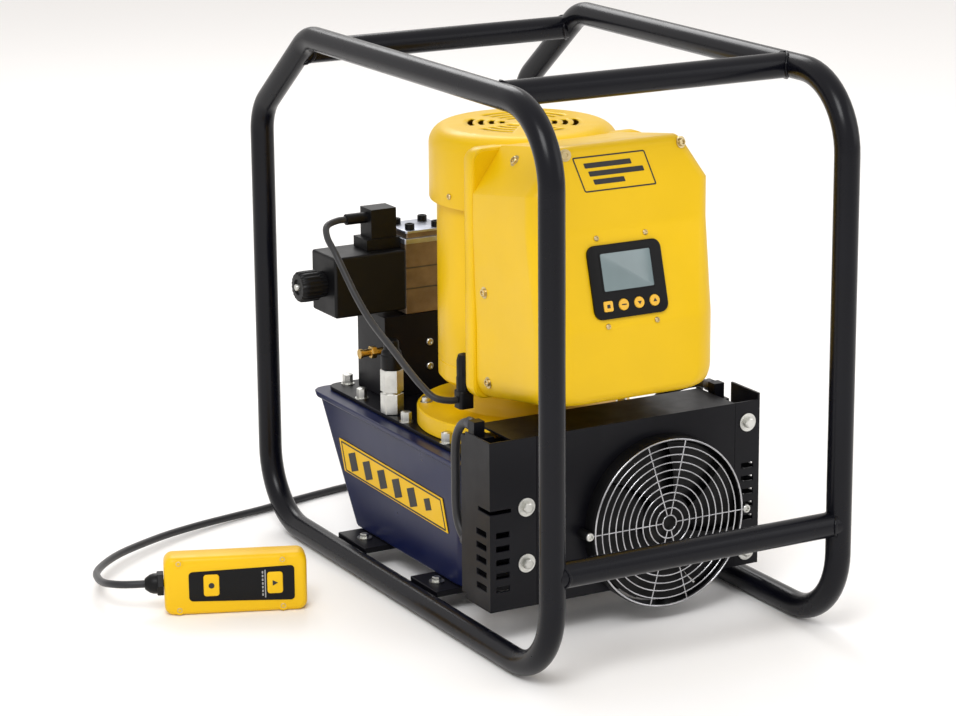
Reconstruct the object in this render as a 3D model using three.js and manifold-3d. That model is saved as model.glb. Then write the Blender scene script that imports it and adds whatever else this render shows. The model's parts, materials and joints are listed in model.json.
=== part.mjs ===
// Electric hydraulic power unit in a tubular roll cage, with an oil cooler and a hand pendant.
// Millimetres, +Z up, the cooler's fan faces -Y, origin on the floor under the middle of the cage.
import * as THREE from 'three';
import { mergeVertices } from 'three/addons/utils/BufferGeometryUtils.js';
import Module from 'manifold-3d';

const wasm = await Module();
wasm.setup();

const GAP = 0.3; // clearance between pieces that touch or are joined
const RAD = Math.PI / 180;

// ---------------------------------------------------------------- driving dimensions
const TUBE = { r: 12.7, wall: 2.2, sides: 12 };
const CAGE = {
  x: 164, y: 312, low: 12.7, high: 562.7, bend: 75, chamferY: 122, chamferZ: 95, chamferBend: 50,
};
const TANK = { low: 25.4, high: 160, wall: 3, lipHeight: 6, lip: 4 };
const PLATE = { x: 118, front: -69, back: 262, low: 160.3, high: 164.3, corner: 14 };
const MOTOR = { y: 28, r: 90, low: 215, high: 412, shaft: 11, bearing: 11.08, sides: 32 };
const HOOD = { r: 97.7, low: 406, high: 483, round: 20, wall: 2.2 };
const BOX = {
  split: -50, low: 237, height: 258, wall: 3, rearDepth: 20, rearHalf: 103, rake: 0.15, rakeFrom: -160,
};
const WEB = { half: 95.5, lip: 102, front: -66.5, back: -46.7, sheet: 3, low: 250, high: 400 };
const FACE = { bottom: 76, top: 172, lean: 26, slopeFrom: 212 };
const DISPLAY = { x: -4.7, y: -183.9, z: 361, halfWidth: 42, halfHeight: 36.5 };
const COOLER = { left: 153, right: 163, front: -172, low: 37, high: 212, sheet: 2.5, flange: 50 };
const BRACKETS = {
  left: { x: COOLER.left, reach: 53, firstSlot: 20, extra: 0, cornerSlot: 101 },
  right: { x: COOLER.right, reach: 29.7, firstSlot: 48, extra: 7 },
};
const PANEL = { left: -99.7, right: 133, topLeft: -128, topDepth: 68 };
const CORE = { half: 128, front: -132, back: -110, low: 43, high: 203, tankEnd: 150, elbow: 141 };
const FAN = { x: 44, z: 104, ring: 89, blades: 7 };
const SOLENOID = { y: 197, z: 295 };
const CORD = { r: 4, sides: 8 };
const PENDANT = { length: 146, height: 62, thick: 32, turn: -21.8, x: -321.5, y: 65 };

// ---------------------------------------------------------------- solid helpers
// A closed three.js geometry as a manifold solid, turned to face outwards.
function solid(geometry) {
  const bare = geometry.clone();
  bare.deleteAttribute('normal');
  bare.deleteAttribute('uv');
  const merged = mergeVertices(bare, 1e-3);
  const p = merged.attributes.position;
  const faces = Array.from(merged.index.array);
  let volume = 0;
  const a = new THREE.Vector3();
  const b = new THREE.Vector3();
  const c = new THREE.Vector3();
  for (let i = 0; i < faces.length; i += 3) {
    a.fromBufferAttribute(p, faces[i]);
    b.fromBufferAttribute(p, faces[i + 1]);
    c.fromBufferAttribute(p, faces[i + 2]);
    volume += a.dot(b.cross(c));
  }
  if (volume < 0) {
    faces.reverse();
  }
  const mesh = new wasm.Mesh({
    numProp: 3,
    vertProperties: new Float32Array(p.array),
    triVerts: new Uint32Array(faces),
  });
  return new wasm.Manifold(mesh);
}

const joined = (...parts) => parts.reduce((whole, part) => whole.add(part));
const bothSides = (shape) => [shape, shape.mirror([1, 0, 0])];
const cut = (body, ...tools) => tools.reduce((rest, tool) => rest.subtract(tool), body);

function block(x0, x1, y0, y1, z0, z1) {
  const g = new THREE.BoxGeometry(x1 - x0, y1 - y0, z1 - z0);
  return solid(g.translate((x0 + x1) / 2, (y0 + y1) / 2, (z0 + z1) / 2));
}

// Turns a solid made along +Z so that it lies along the named axis, then moves it.
function along(axis, geometry, [x, y, z]) {
  if (axis === 'x') geometry.rotateY(Math.PI / 2);
  if (axis === 'y') geometry.rotateX(Math.PI / 2);
  return solid(geometry.translate(x, y, z));
}

// A plain cylinder of radius r from `from` to `to` on the named axis; `at` is the axis's position.
function rod(axis, at, r, from, to, sides = 20) {
  const g = new THREE.CylinderGeometry(r, r, to - from, sides);
  g.rotateX(Math.PI / 2).rotateZ(Math.PI / sides);
  const middle = (from + to) / 2;
  const places = { x: [middle, at[0], at[1]], y: [at[0], middle, at[1]], z: [at[0], at[1], middle] };
  return along(axis, g, places[axis]);
}

// A turned piece: [radius, height] points about Z, through (x, y). A ring's outline is closed.
function turned(outline, x, y, sides) {
  const points = outline.map(([r, h]) => new THREE.Vector2(r, h));
  const g = new THREE.LatheGeometry(points, sides).rotateX(Math.PI / 2);
  return solid(g.rotateZ(Math.PI / sides).translate(x, y, 0));
}

const closed = (outline) => [...outline, outline[0]];

// Points of a circular arc, in degrees.
function arc(cx, cy, r, from, to, steps) {
  return Array.from({ length: steps + 1 }, (_, i) => {
    const t = (from + ((to - from) * i) / steps) * RAD;
    return [cx + r * Math.cos(t), cy + r * Math.sin(t)];
  });
}

function roundedOutline(x0, x1, y0, y1, r, steps = 3) {
  return [
    ...arc(x1 - r, y1 - r, r, 0, 90, steps),
    ...arc(x0 + r, y1 - r, r, 90, 180, steps),
    ...arc(x0 + r, y0 + r, r, 180, 270, steps),
    ...arc(x1 - r, y0 + r, r, 270, 360, steps),
  ];
}

function shapeOf(outline) {
  return new THREE.Shape(outline.map(([a, b]) => new THREE.Vector2(a, b)));
}

// A flat outline given depth: in the XY plane for 'z', in XZ for 'y', in YZ for 'x'.
function prism(axis, outline, from, to) {
  const g = new THREE.ExtrudeGeometry(shapeOf(outline), { depth: to - from, bevelEnabled: false });
  const frames = {
    x: [[0, 1, 0], [0, 0, 1], [1, 0, 0]],
    y: [[1, 0, 0], [0, 0, 1], [0, 1, 0]],
    z: [[1, 0, 0], [0, 1, 0], [0, 0, 1]],
  };
  const [u, v, w] = frames[axis].map((d) => new THREE.Vector3(...d));
  g.applyMatrix4(new THREE.Matrix4().makeBasis(u, v, w));
  const move = w.multiplyScalar(from);
  return solid(g.translate(move.x, move.y, move.z));
}

// Rings of points, one per level, closed over into a solid.
function loft(rings) {
  const n = rings[0].length;
  const corners = rings.flat();
  const faces = [];
  for (let k = 0; k + 1 < rings.length; k += 1) {
    for (let i = 0; i < n; i += 1) {
      const a = k * n + i;
      const b = k * n + ((i + 1) % n);
      faces.push(a, b, b + n, a, b + n, a + n);
    }
  }
  const last = (rings.length - 1) * n;
  for (let i = 1; i + 1 < n; i += 1) {
    faces.push(0, i + 1, i, last, last + i, last + i + 1);
  }
  const g = new THREE.BufferGeometry();
  g.setAttribute('position', new THREE.Float32BufferAttribute(corners.flat(), 3));
  g.setIndex(faces);
  return solid(g);
}

// A round cable or hose through the given points.
function hose(points, r, sides, steps) {
  const path = new THREE.CatmullRomCurve3(points.map((p) => new THREE.Vector3(...p)));
  const section = shapeOf(arc(0, 0, r, 0, 360 - 360 / sides, sides - 1));
  const g = new THREE.ExtrudeGeometry(section, { steps, bevelEnabled: false, extrudePath: path });
  return solid(g);
}

// ---------------------------------------------------------------- cage
// The hoop's centre line in the YZ plane, as points with the outward direction at each.
function hoopLine() {
  const { y, low, high, bend, chamferY, chamferZ, chamferBend } = CAGE;
  const corners = [
    { p: [-y, low], r: bend },
    { p: [y, low], r: bend },
    { p: [y, high - chamferZ], r: chamferBend },
    { p: [y - chamferY, high], r: chamferBend },
    { p: [-y, high], r: bend },
  ].map(({ p, r }) => ({ p: new THREE.Vector2(...p), r }));
  const line = [];
  corners.forEach(({ p, r }, i) => {
    const before = corners[(i + corners.length - 1) % corners.length].p;
    const after = corners[(i + 1) % corners.length].p;
    const inward = p.clone().sub(before).normalize();
    const outward = after.clone().sub(p).normalize();
    const turn = Math.acos(inward.dot(outward));
    const start = p.clone().addScaledVector(inward, -r * Math.tan(turn / 2));
    const centre = start.clone().add(new THREE.Vector2(-inward.y, inward.x).multiplyScalar(r));
    const first = Math.atan2(start.y - centre.y, start.x - centre.x);
    const steps = Math.max(3, Math.round(turn / (15 * RAD)));
    for (let k = 0; k <= steps; k += 1) {
      const t = first + (turn * k) / steps;
      line.push({ y: centre.x + r * Math.cos(t), z: centre.y + r * Math.sin(t), t });
    }
  });
  return line;
}

// A closed tube round the hoop's line. Flats, not corners, lie on the radius.
function hoopSweep(x, r, sides) {
  const line = hoopLine();
  const reach = r / Math.cos(Math.PI / sides);
  const corners = [];
  const faces = [];
  line.forEach(({ y, z, t }, i) => {
    const next = (i + 1) % line.length;
    for (let k = 0; k < sides; k += 1) {
      const a = ((k + 0.5) / sides) * 2 * Math.PI;
      const out = reach * Math.cos(a);
      corners.push(x + reach * Math.sin(a), y + out * Math.cos(t), z + out * Math.sin(t));
      const j = (k + 1) % sides;
      faces.push(i * sides + k, i * sides + j, next * sides + j);
      faces.push(i * sides + k, next * sides + j, next * sides + k);
    }
  });
  const g = new THREE.BufferGeometry();
  g.setAttribute('position', new THREE.Float32BufferAttribute(corners, 3));
  g.setIndex(faces);
  return solid(g);
}

// A bent tube hoop, hollow, with a drain hole on the inner side of its bottom rail.
function sideHoop(x) {
  const inner = hoopSweep(x, TUBE.r - TUBE.wall, 8);
  const toCentre = -Math.sign(x) * 16;
  const drain = rod('x', [150, CAGE.low], 2.5, Math.min(x, x + toCentre), Math.max(x, x + toCentre), 8);
  return cut(hoopSweep(x, TUBE.r, TUBE.sides), inner, drain);
}

// A straight tube between the hoops, its ends shaped to fit round them.
function crossTube(y, z) {
  const reach = TUBE.r / Math.cos(Math.PI / TUBE.sides);
  const outer = rod('x', [y, z], reach, -CAGE.x, CAGE.x, TUBE.sides);
  const bore = rod('x', [y, z], TUBE.r - TUBE.wall, -CAGE.x, CAGE.x, 10);
  const left = hoopSweep(-CAGE.x, TUBE.r + GAP, TUBE.sides);
  const right = hoopSweep(CAGE.x, TUBE.r + GAP, TUBE.sides);
  const middle = block(-CAGE.x + 4, CAGE.x - 4, y - 20, y + 20, z - 20, z + 20);
  const pieces = cut(outer.intersect(middle), bore, left, right).decompose();
  return pieces.reduce((big, piece) => (piece.volume() > big.volume() ? piece : big));
}

function baseBar(front, back) {
  const bar = block(-152.5, 152.5, front, back, 19, TANK.low - GAP);
  const bolts = [-90, 90].map((x) => rod('z', [x, (front + back) / 2], 4.5, 18, 26, 12));
  return cut(bar, ...bolts);
}

// ---------------------------------------------------------------- oil tank
// The tank's outside at one height, grown by `grow` on every side.
function tankRing(z, grow, radius) {
  const t = (z - TANK.low) / (TANK.high - TANK.low);
  const half = 125 + 5 * t + grow;
  const outline = roundedOutline(-half, half, -66 - 9 * t - grow, 190 + 78 * t + grow, radius);
  return outline.map(([x, y]) => [x, y, z]);
}

const tankBody = (low, high, grow, radius) =>
  loft([tankRing(low, grow, radius), tankRing(high, grow, radius)]);

function reservoirTank() {
  const { low, high, wall, lip, lipHeight } = TANK;
  const body = tankBody(low, high, 0, 16);
  const rim = tankBody(high - lipHeight, high, lip, 18);
  const inside = tankBody(low + wall, high - wall, -wall, 13);
  const mouth = prism('z', roundedOutline(-112, 112, -60, 244, 12), high - 10, high + 1);
  const drain = rod('x', [60, 44], 8 + GAP, 110, 140, 16);
  return cut(joined(body, rim), inside, mouth, drain);
}

function coverPlate() {
  const { x, front, back, low, high, corner } = PLATE;
  const plate = prism('z', roundedOutline(-x, x, front, back, corner), low, high);
  const shaft = rod('z', [0, MOTOR.y], 16, low - 1, high + 1, 24);
  const filler = rod('z', [85, 215], 10 + GAP, low - 1, high + 1, 16);
  return cut(plate, shaft, filler);
}

function fillCap() {
  const outline = [
    [0, 155], [10, 155], [10, 164.6], [17, 164.6], [17, 190], [14, 194], [0, 194],
  ];
  return turned(outline, 85, 215, 20);
}

function drainPlug() {
  return joined(rod('x', [60, 44], 8, 112, 134, 16), rod('x', [60, 44], 11, 127, 136, 6))
    .subtract(tankBody(20, 120, GAP, 16).subtract(rod('x', [60, 44], 8.1, 100, 140, 16)));
}

// A slanted plate that follows the tank's left side.
function tankLabel() {
  const slanted = [[208, 118], [-28, 113], [-38, 78], [198, 83]];
  const panel = prism('x', slanted, -150, -100);
  return panel.intersect(tankBody(20, 160, GAP + 1, 16)).subtract(tankBody(20, 160, GAP, 16));
}

// The pump hangs from the cover plate in the oil, round the lower end of the motor's shaft.
function pumpBlock() {
  const body = block(-42, 42, -8, 64, 95, 160);
  const bore = rod('z', [0, MOTOR.y], MOTOR.shaft + 1, 130, 170, 24);
  const inlet = rod('z', [0, MOTOR.y], 9, 94, 131, 16);
  return cut(body, bore, inlet);
}

// ---------------------------------------------------------------- motor
function pumpAdapterDisc() {
  const outline = [
    [16, 164.6], [113, 164.6], [113, 184], [80, 186], [72, 194], [72, 206], [84, 214.7], [16, 214.7],
  ];
  return turned(closed(outline), 0, MOTOR.y, MOTOR.sides);
}

function motorHousing() {
  const { r, low, high, bearing, sides } = MOTOR;
  const outline = [
    [bearing, low], [r - 6, low], [r, low + 5], [r, high],
    [r - 4, high], [r - 4, low + 9], [bearing, low + 9],
  ];
  return turned(closed(outline), 0, MOTOR.y, sides);
}

function motorStator() {
  const outline = [[59.5, 250], [MOTOR.r - 4.3, 250], [MOTOR.r - 4.3, 370], [59.5, 370]];
  return turned(closed(outline), 0, MOTOR.y, MOTOR.sides);
}

function motorRotorShaft() {
  const s = MOTOR.shaft;
  const outline = [
    [0, 134], [s, 134], [s, 245], [58.5, 245], [58.5, 375], [s, 375], [s, 414], [8, 414], [8, 452], [0, 452],
  ];
  return turned(outline, 0, MOTOR.y, MOTOR.sides);
}

// `count` flat vanes on a hub that turns about Z at the origin.
function vanes(count, inner, outer, thick, low, high, pitch) {
  return Array.from({ length: count }, (_, i) => {
    const g = new THREE.BoxGeometry(outer - inner, thick, high - low);
    g.rotateX(pitch * RAD).translate((inner + outer) / 2, 0, (low + high) / 2);
    return solid(g.rotateZ((i / count) * 2 * Math.PI));
  });
}

function motorCoolingFan() {
  const outline = closed([[8 + GAP, 425], [20, 425], [20, 448], [8 + GAP, 448]]);
  const disc = turned(closed([[18, 425], [62, 425], [62, 428], [18, 428]]), 0, 0, 16);
  const wheel = joined(turned(outline, 0, 0, 16), disc, ...vanes(8, 18.5, 84, 2.4, 425, 448, 0));
  return wheel.translate([0, MOTOR.y, 0]);
}

// The hood over the cooling fan, with rings of curved air slots in its top.
function motorFanCover() {
  const { r, low, high, round, wall } = HOOD;
  const outline = [
    [0, high],
    ...arc(r - round, high - round, round, 90, 0, 4),
    [r, low], [MOTOR.r + GAP, low], [MOTOR.r + GAP, low + 3], [r - wall, low + 3],
    ...arc(r - round, high - round, round - wall, 0, 90, 4),
    [0, high - wall],
  ];
  const hood = turned(outline, 0, MOTOR.y, MOTOR.sides);
  const slots = [32, 50, 68].flatMap((radius) => [0, 90, 180, 270].map((start) => {
    const ends = [start + 18, start + 72];
    const edge = [...arc(0, 0, radius + 3, ...ends, 3), ...arc(0, 0, radius - 3, ends[1], ends[0], 3)];
    return prism('z', edge, high - 8, high + 1).translate([0, MOTOR.y, 0]);
  }));
  return cut(hood, ...slots);
}

// ---------------------------------------------------------------- electrical box
const BOX_HEIGHTS = [0, 3, 10, 24, FACE.bottom, FACE.top, FACE.slopeFrom, 233, 248, 255, BOX.height];

// How far up the leaning face a height is, from 0 to 1.
const upFace = (h) => Math.min(1, Math.max(0, (h - FACE.bottom) / (FACE.top - FACE.bottom)));

// The sides widen a little up the face, and are pulled in by the bottom and top corners.
function boxHalfWidth(h) {
  const corner = h < 24 ? 24 - Math.sqrt(24 ** 2 - (24 - h) ** 2) : 0;
  const slope = h > FACE.slopeFrom ? (33 * (h - FACE.slopeFrom)) / (BOX.height - FACE.slopeFrom) : 0;
  return 100 + 3 * upFace(h) - corner * 0.8 - slope;
}

// The face stands upright, leans back across the display, then stands upright again.
function boxFront(h) {
  const foot = h < 10 ? 10 - Math.sqrt(10 ** 2 - (10 - h) ** 2) : 0;
  const brow = h > 248 ? 10 - Math.sqrt(10 ** 2 - (h - 248) ** 2) : 0;
  return -196 + FACE.lean * upFace(h) + foot + brow;
}

// One level of the box, lower at the back than at the front, with its two front corners rounded.
function boxRing(h, inset, back) {
  const half = boxHalfWidth(h) - inset;
  const front = boxFront(h) + inset;
  const r = 30 - 14 * upFace(h) - inset;
  const outline = [
    [half, back],
    [-half, back],
    ...arc(-half + r, front + r, r, 180, 270, 5),
    ...arc(half - r, front + r, r, 270, 360, 5),
  ];
  const squash = (BOX.height - 2 * inset) / BOX.height;
  return outline.map(([x, y]) => [x, y, BOX.low + inset + h * squash - BOX.rake * (y - BOX.rakeFrom)]);
}

// The box's front part as a solid, or its inside when `inset` is the wall.
const boxBody = (inset, back) => loft(BOX_HEIGHTS.map((h) => boxRing(h, inset, back)));

const motorClearance = () => joined(
  rod('z', [0, MOTOR.y], MOTOR.r + 1, 190, HOOD.low, MOTOR.sides),
  rod('z', [0, MOTOR.y], HOOD.r + 1, HOOD.low - 1, HOOD.high + 1.5, MOTOR.sides),
);

function enclosureFrontCover() {
  const shell = boxBody(0, BOX.split).subtract(boxBody(BOX.wall, BOX.split + 5));
  const window = displayPlace(block(-38, 38, -33, 33, -14, 6));
  return cut(shell, window, motorClearance());
}

// The sheet across the rear shell, just in front of the motor, that ties its two sides together.
function mountingWeb() {
  const { half, lip, front, back, sheet, low, high } = WEB;
  const across = block(-half, half, front, front + sheet, low, high);
  const side = block(half - sheet, half, front, back, low, high);
  const flange = block(half - sheet, lip, BOX.split + GAP, back, low, high);
  return joined(across, ...bothSides(side), ...bothSides(flange));
}

// The shallow rear half: upright, with small round corners.
function enclosureRearShell() {
  const { split, low, height, wall, rearDepth, rearHalf, rake, rakeFrom } = BOX;
  const back = split + rearDepth;
  const drop = rake * ((split + back) / 2 - rakeFrom);
  const [bottom, top] = [low - drop, low + height - drop];
  const outline = (inset, r) => (
    roundedOutline(-rearHalf + inset, rearHalf - inset, bottom + inset, top - inset, r)
  );
  const outer = prism('y', outline(0, 14), split + GAP, back);
  const inner = prism('y', outline(wall, 11), split - 1, back - wall);
  const open = block(-60, 60, split, back + 1, bottom + 30, HOOD.high - 40);
  return cut(joined(outer.subtract(inner), mountingWeb()), open, motorClearance());
}

function controlBoard() {
  const board = block(-91.5, 91.5, -100, -98, 292, 432);
  const chips = [[-60, 320], [0, 380], [50, 330]].map(([x, z]) => (
    block(x - 15, x + 15, -106, -99, z, z + 24)
  ));
  return joined(board, ...chips);
}

// ---------------------------------------------------------------- display on the leaning face
// From the display's own frame (x across, y up the face, z out of it) to the part's frame.
function displayPlace(shape) {
  const lean = Math.atan2(FACE.lean, FACE.top - FACE.bottom - BOX.rake * FACE.lean);
  const across = new THREE.Vector3(1, 0, 0);
  const up = new THREE.Vector3(0, Math.sin(lean), Math.cos(lean));
  const out = new THREE.Vector3(0, -Math.cos(lean), Math.sin(lean));
  const place = new THREE.Matrix4().makeBasis(across, up, out);
  place.setPosition(DISPLAY.x, DISPLAY.y, DISPLAY.z);
  return shape.transform(place.elements);
}

const KEY_SPOTS = [-26.6, -8.9, 8.9, 26.6];
const KEY_R = 5.8;
const KEY_ROW = -24;

function displayBezel() {
  const { halfWidth, halfHeight } = DISPLAY;
  const flange = prism('z', roundedOutline(-halfWidth, halfWidth, -halfHeight, halfHeight, 9), GAP, 3.3);
  const back = block(-37, 37, -32, 32, -8, 1);
  const glass = block(-28.8, 28.8, -9.8, 28, -3, 5);
  const holes = KEY_SPOTS.map((x) => rod('z', [x, KEY_ROW], KEY_R + GAP, -9, 5, 16));
  return displayPlace(cut(joined(flange, back), glass, ...holes));
}

const lcdScreen = () => displayPlace(block(-28.5, 28.5, -9.5, 27.7, -2.7, 2.4));

const displayKey = (x) => displayPlace(rod('z', [x, KEY_ROW], KEY_R, -6, 4.2, 16));

// ---------------------------------------------------------------- valve stack
const valveManifold = () => cut(
  block(-90, -5, 172, 237, 164.6, 255),
  rod('x', [180, 217], 4 + GAP, -91, -78, 12),
);

const directionalValveBody = () => joined(
  block(-64, -8, 172, 228, 255.3, 338),
  block(-60, -12, 176, 224, 337, 345),
);

const solenoidHousing = () => block(-150, -64.4, 168, 225, 262, 328);

function solenoidKnob() {
  const { y, z } = SOLENOID;
  const body = rod('x', [y, z], 17, -181, -150.3, 20);
  return cut(body, rod('x', [y, z], 4 + GAP, -182, -166, 12));
}

const overridePin = () => rod('x', [SOLENOID.y, SOLENOID.z], 4, -183, -170, 12);

function solenoidConnector() {
  const base = block(-104.6, -64.6, 182, 214, 328.3, 340);
  const head = block(-98, -68, 184, 210, 339, 372);
  return joined(base, head, rod('x', [SOLENOID.y, 362], 6, -122, -97, 12));
}

function solenoidLead() {
  const points = [
    [-122.3, 197, 362], [-131, 197, 362], [-146.6, 192, 358.6], [-153, 179, 350], [-153, 160, 336],
    [-150, 143, 316], [-147, 125, 296], [-144, 98, 275], [-141, 55, 254], [-139, 22, 238],
    [-136, -0.3, 226.7], [-129, -14.2, 217], [-113, -20, 213], [-106.8, -20, 213],
  ];
  return hose(points, 3.6, 8, 44);
}

function leadGland() {
  const foot = block(-106.5, -90, -28.5, -11.5, 204, 222);
  return joined(foot, rod('z', [-98, -20], 8.2, 221, 262, 14));
}

const hexAdapter = () => rod('z', [-108, 122], 12.5, 164.6, 213, 6);

function pressureTransducer() {
  const outline = [[0, 213.3], [11.5, 213.3], [11.5, 231], [8, 236], [8, 245], [0, 245]];
  return turned(outline, -108, 122, 16);
}

function reliefAdjuster() {
  return joined(rod('x', [180, 217], 4, -100, -79, 12), rod('x', [180, 217], 7, -117, -99, 8));
}

// ---------------------------------------------------------------- oil cooler
// A bent sheet bracket: a side plate and a front flange, each with a column of five slots. The left
// one also has a long slot round its bend.
function coolerBracket({ x, reach, firstSlot, extra, cornerSlot }) {
  const { front, low, high, sheet, flange } = COOLER;
  const plate = block(x - sheet, x, front, front + flange, low, high + extra);
  const face = block(x - reach, x, front, front + sheet, low, high);
  const slots = Array.from({ length: 5 }, (_, i) => low + firstSlot + 14 * i).flatMap((z) => [
    block(x - sheet - 1, x + 1, front + 8, front + 28, z, z + 6),
    block(x - 22, x - 7, front - 1, front + sheet + 1, z, z + 6),
  ]);
  if (cornerSlot) {
    slots.push(block(x - 24, x + 1, front - 1, front + 24, low + cornerSlot, low + cornerSlot + 4));
  }
  return cut(joined(plate, face), ...slots);
}

// The sheet in front of the core. Its top runs back over the core and on behind the left bracket.
function coolerFrontPanel() {
  const { front, low, high, sheet } = COOLER;
  const { left, right, topLeft, topDepth } = PANEL;
  const face = block(left, right, front, front + sheet, low, high);
  const top = block(left, right, front, front + topDepth, high - sheet, high);
  const tongue = block(topLeft, left + 1, front + sheet + GAP, front + topDepth, high - sheet, high);
  const opening = rod('y', [FAN.x, FAN.z], FAN.ring - 9, front - 1, front + 4, 32);
  return cut(joined(face, top, tongue), opening);
}

// The radiator: a finned block between two end tanks, each with a hose elbow on top.
function heatExchangerCore() {
  const { half, front, back, low, high, tankEnd, elbow } = CORE;
  const core = block(-half, half, front, back, low, high);
  const tank = block(half - 1, tankEnd, front - 3, back + 2, low - 2, high + 3);
  const neck = block(elbow - 6, elbow + 6, front + 2, front + 14, high + 2, high + 19);
  const grooves = Array.from({ length: 10 }, (_, i) => low + 8 + i * 15).flatMap((z) => [
    block(-half + 2, half - 2, front - 1, front + 5, z, z + 7),
    block(-half + 2, half - 2, back - 5, back + 1, z, z + 7),
  ]);
  return cut(joined(core, ...bothSides(tank), ...bothSides(neck)), ...grooves);
}

function fanShroud() {
  const { x, z, ring } = FAN;
  const hoop = rod('y', [x, z], ring, -188, -172.3, 32).subtract(rod('y', [x, z], ring - 3, -189, -171, 32));
  const arms = [[87, 5], [5, 87]].map(([w, h]) => block(x - w, x + w, -175.8, -172.3, z - h, z + h));
  return joined(hoop, ...arms, rod('y', [x, z], 26, -175.8, -172.3, 20));
}

const fanMotor = () => rod('y', [FAN.x, FAN.z], 24, -172, -150, 24);

function fanBlades() {
  const hub = rod('z', [0, 0], 28, 0, 9.5, 24);
  const wheel = joined(hub, ...vanes(FAN.blades, 24, 83, 2.6, -1.25, 10.75, 52));
  return wheel.rotate([90, 0, 0]).translate([FAN.x, -176.5, FAN.z]);
}

// Concentric wires and spokes in front of the fan.
function fanGuard() {
  const wire = 2.4;
  const rings = [14, 32, 50, 68, 86].map((r) => {
    const outline = [[r, 0], [r + wire, 0], [r + wire, wire], [r, wire]];
    return turned(closed(outline), 0, 0, 24);
  });
  const spokes = [0, 76, 106].map((deg) => (
    block(-93, 93, -1.2, 1.2, 0.2, 1.8).rotate([0, 0, deg])
  ));
  return joined(...rings, ...spokes).rotate([90, 0, 0]).translate([FAN.x, -188.3, FAN.z]);
}

function supplyHose() {
  const points = [
    [-141, -117.7, 216], [-141, -108, 216], [-141, -95, 211], [-141, -84, 198], [-141, -80, 180],
    [-141, -80, 153], [-141, -80, 126], [-141, -84, 108], [-141, -93, 96], [-141, -101, 92],
    [-141, -107.7, 92],
  ];
  return hose(points, 4.6, 10, 26);
}

function returnHose() {
  const points = [
    [141, -117.7, 216], [141, -108, 216], [138, -92, 214], [129, -74, 207], [116, -58, 196],
    [108, -51, 183], [106, -50, 173], [106, -50, 164.6],
  ];
  return hose(points, 4.6, 10, 18);
}

// ---------------------------------------------------------------- control cord and pendant
function boxGland(z) {
  const outline = [[0, 0], [10, 0], [10, 7], [7, 9], [6, 22], [0, 22]];
  return turned(outline, 0, 0, 12).rotate([0, 90, 0]).translate([BOX.rearHalf + GAP, -40, z]);
}

// From the gland on the box's right side down to the coil on the floor.
function cordFromBox() {
  const points = [
    [125.6, -40, 290], [138, -40, 290], [154, -40, 286.5], [168, -39, 276], [178, -37, 259],
    [183, -33, 236], [185, -27, 200], [186.5, -20, 160], [188, -12, 118], [190, -2, 80], [193, 12, 46],
    [198, 31, 20], [206, 54, 7.5], [219, 79, 4.8], [236, 101, 4.4], [260, 114, 4.3],
  ];
  return hose(points, CORD.r, CORD.sides, 34);
}

// Spare cord lies in a ring behind and to the right of the unit.
function cordCoil() {
  const outline = [
    ...arc(67, 5, 5, -90, 0, 2), ...arc(67, 27, 5, 0, 90, 2),
    ...arc(45, 27, 5, 90, 180, 2), ...arc(45, 5, 5, 180, 270, 2),
  ];
  return turned(closed(outline), 250, 190, 28);
}

// From the coil, behind the cage and round to the pendant.
function cordToPendant() {
  const points = [
    [291.6, 254.8, 28], [278, 279, 20], [257, 307, 9], [226, 333, 5], [182, 355, 4.5], [120, 371, 4.3],
    [50, 378, 4.3], [-30, 373, 4.3], [-108, 357, 4.3], [-163, 342, 4.6], [-207, 331, 5.5], [-250, 318, 7],
    [-294, 300, 9], [-334, 278, 11], [-373, 251, 13.5], [-403, 221, 16], [-424, 190, 19], [-433, 162, 22],
    [-436, 141, 25], [-435, 126, 28], [-428, 112, 30], [-416.3, 102.9, 31], [-407.9, 99.6, 31],
  ];
  return hose(points, CORD.r, CORD.sides, 54);
}

// From the pendant's own frame (x along it, y into it from its face, z up) to the part's frame.
function pendantPlace(shape) {
  return shape.rotate([0, 0, PENDANT.turn]).translate([PENDANT.x, PENDANT.y, 0]);
}

function pendantHalf(front, back) {
  const { length, height } = PENDANT;
  return prism('y', roundedOutline(-length / 2, length / 2, 0, height, 9), front, back);
}

function pendantRearCase() {
  const hollow = block(-68, 68, -2, 12, 6, 56);
  return pendantPlace(pendantHalf(GAP / 2, PENDANT.thick / 2).subtract(hollow));
}

function pendantFrontCase() {
  const hollow = block(-68, 68, -12, 2, 6, 56);
  const pad = block(-48.3, 60.3, -20, -14.5, 14.7, 49.3);
  const wells = [-25, 40].map((x) => block(x - 7, x + 7, -20, 0, 22, 42));
  return pendantPlace(cut(pendantHalf(-PENDANT.thick / 2, -GAP / 2), hollow, pad, ...wells));
}

function pendantKeypad() {
  const pad = prism('y', roundedOutline(-48, 60, 15, 49, 4), -16.6, -14.8);
  const holes = [-25, 40].map((x) => block(x - 8.6, x + 8.6, -20, -10, 20.6, 43.4));
  return pendantPlace(cut(pad, ...holes));
}

function pendantButton(x) {
  const cap = prism('y', roundedOutline(x - 8, x + 8, 21, 43, 3), -18.6, -15.6);
  return pendantPlace(joined(cap, block(x - 6, x + 6, -16, -9, 23, 41)));
}

function pendantGland() {
  const nut = rod('x', [0, 31], 13, -80, -73.3, 6);
  return pendantPlace(joined(nut, rod('x', [0, 31], 9, -92.8, -79, 12)));
}

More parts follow.
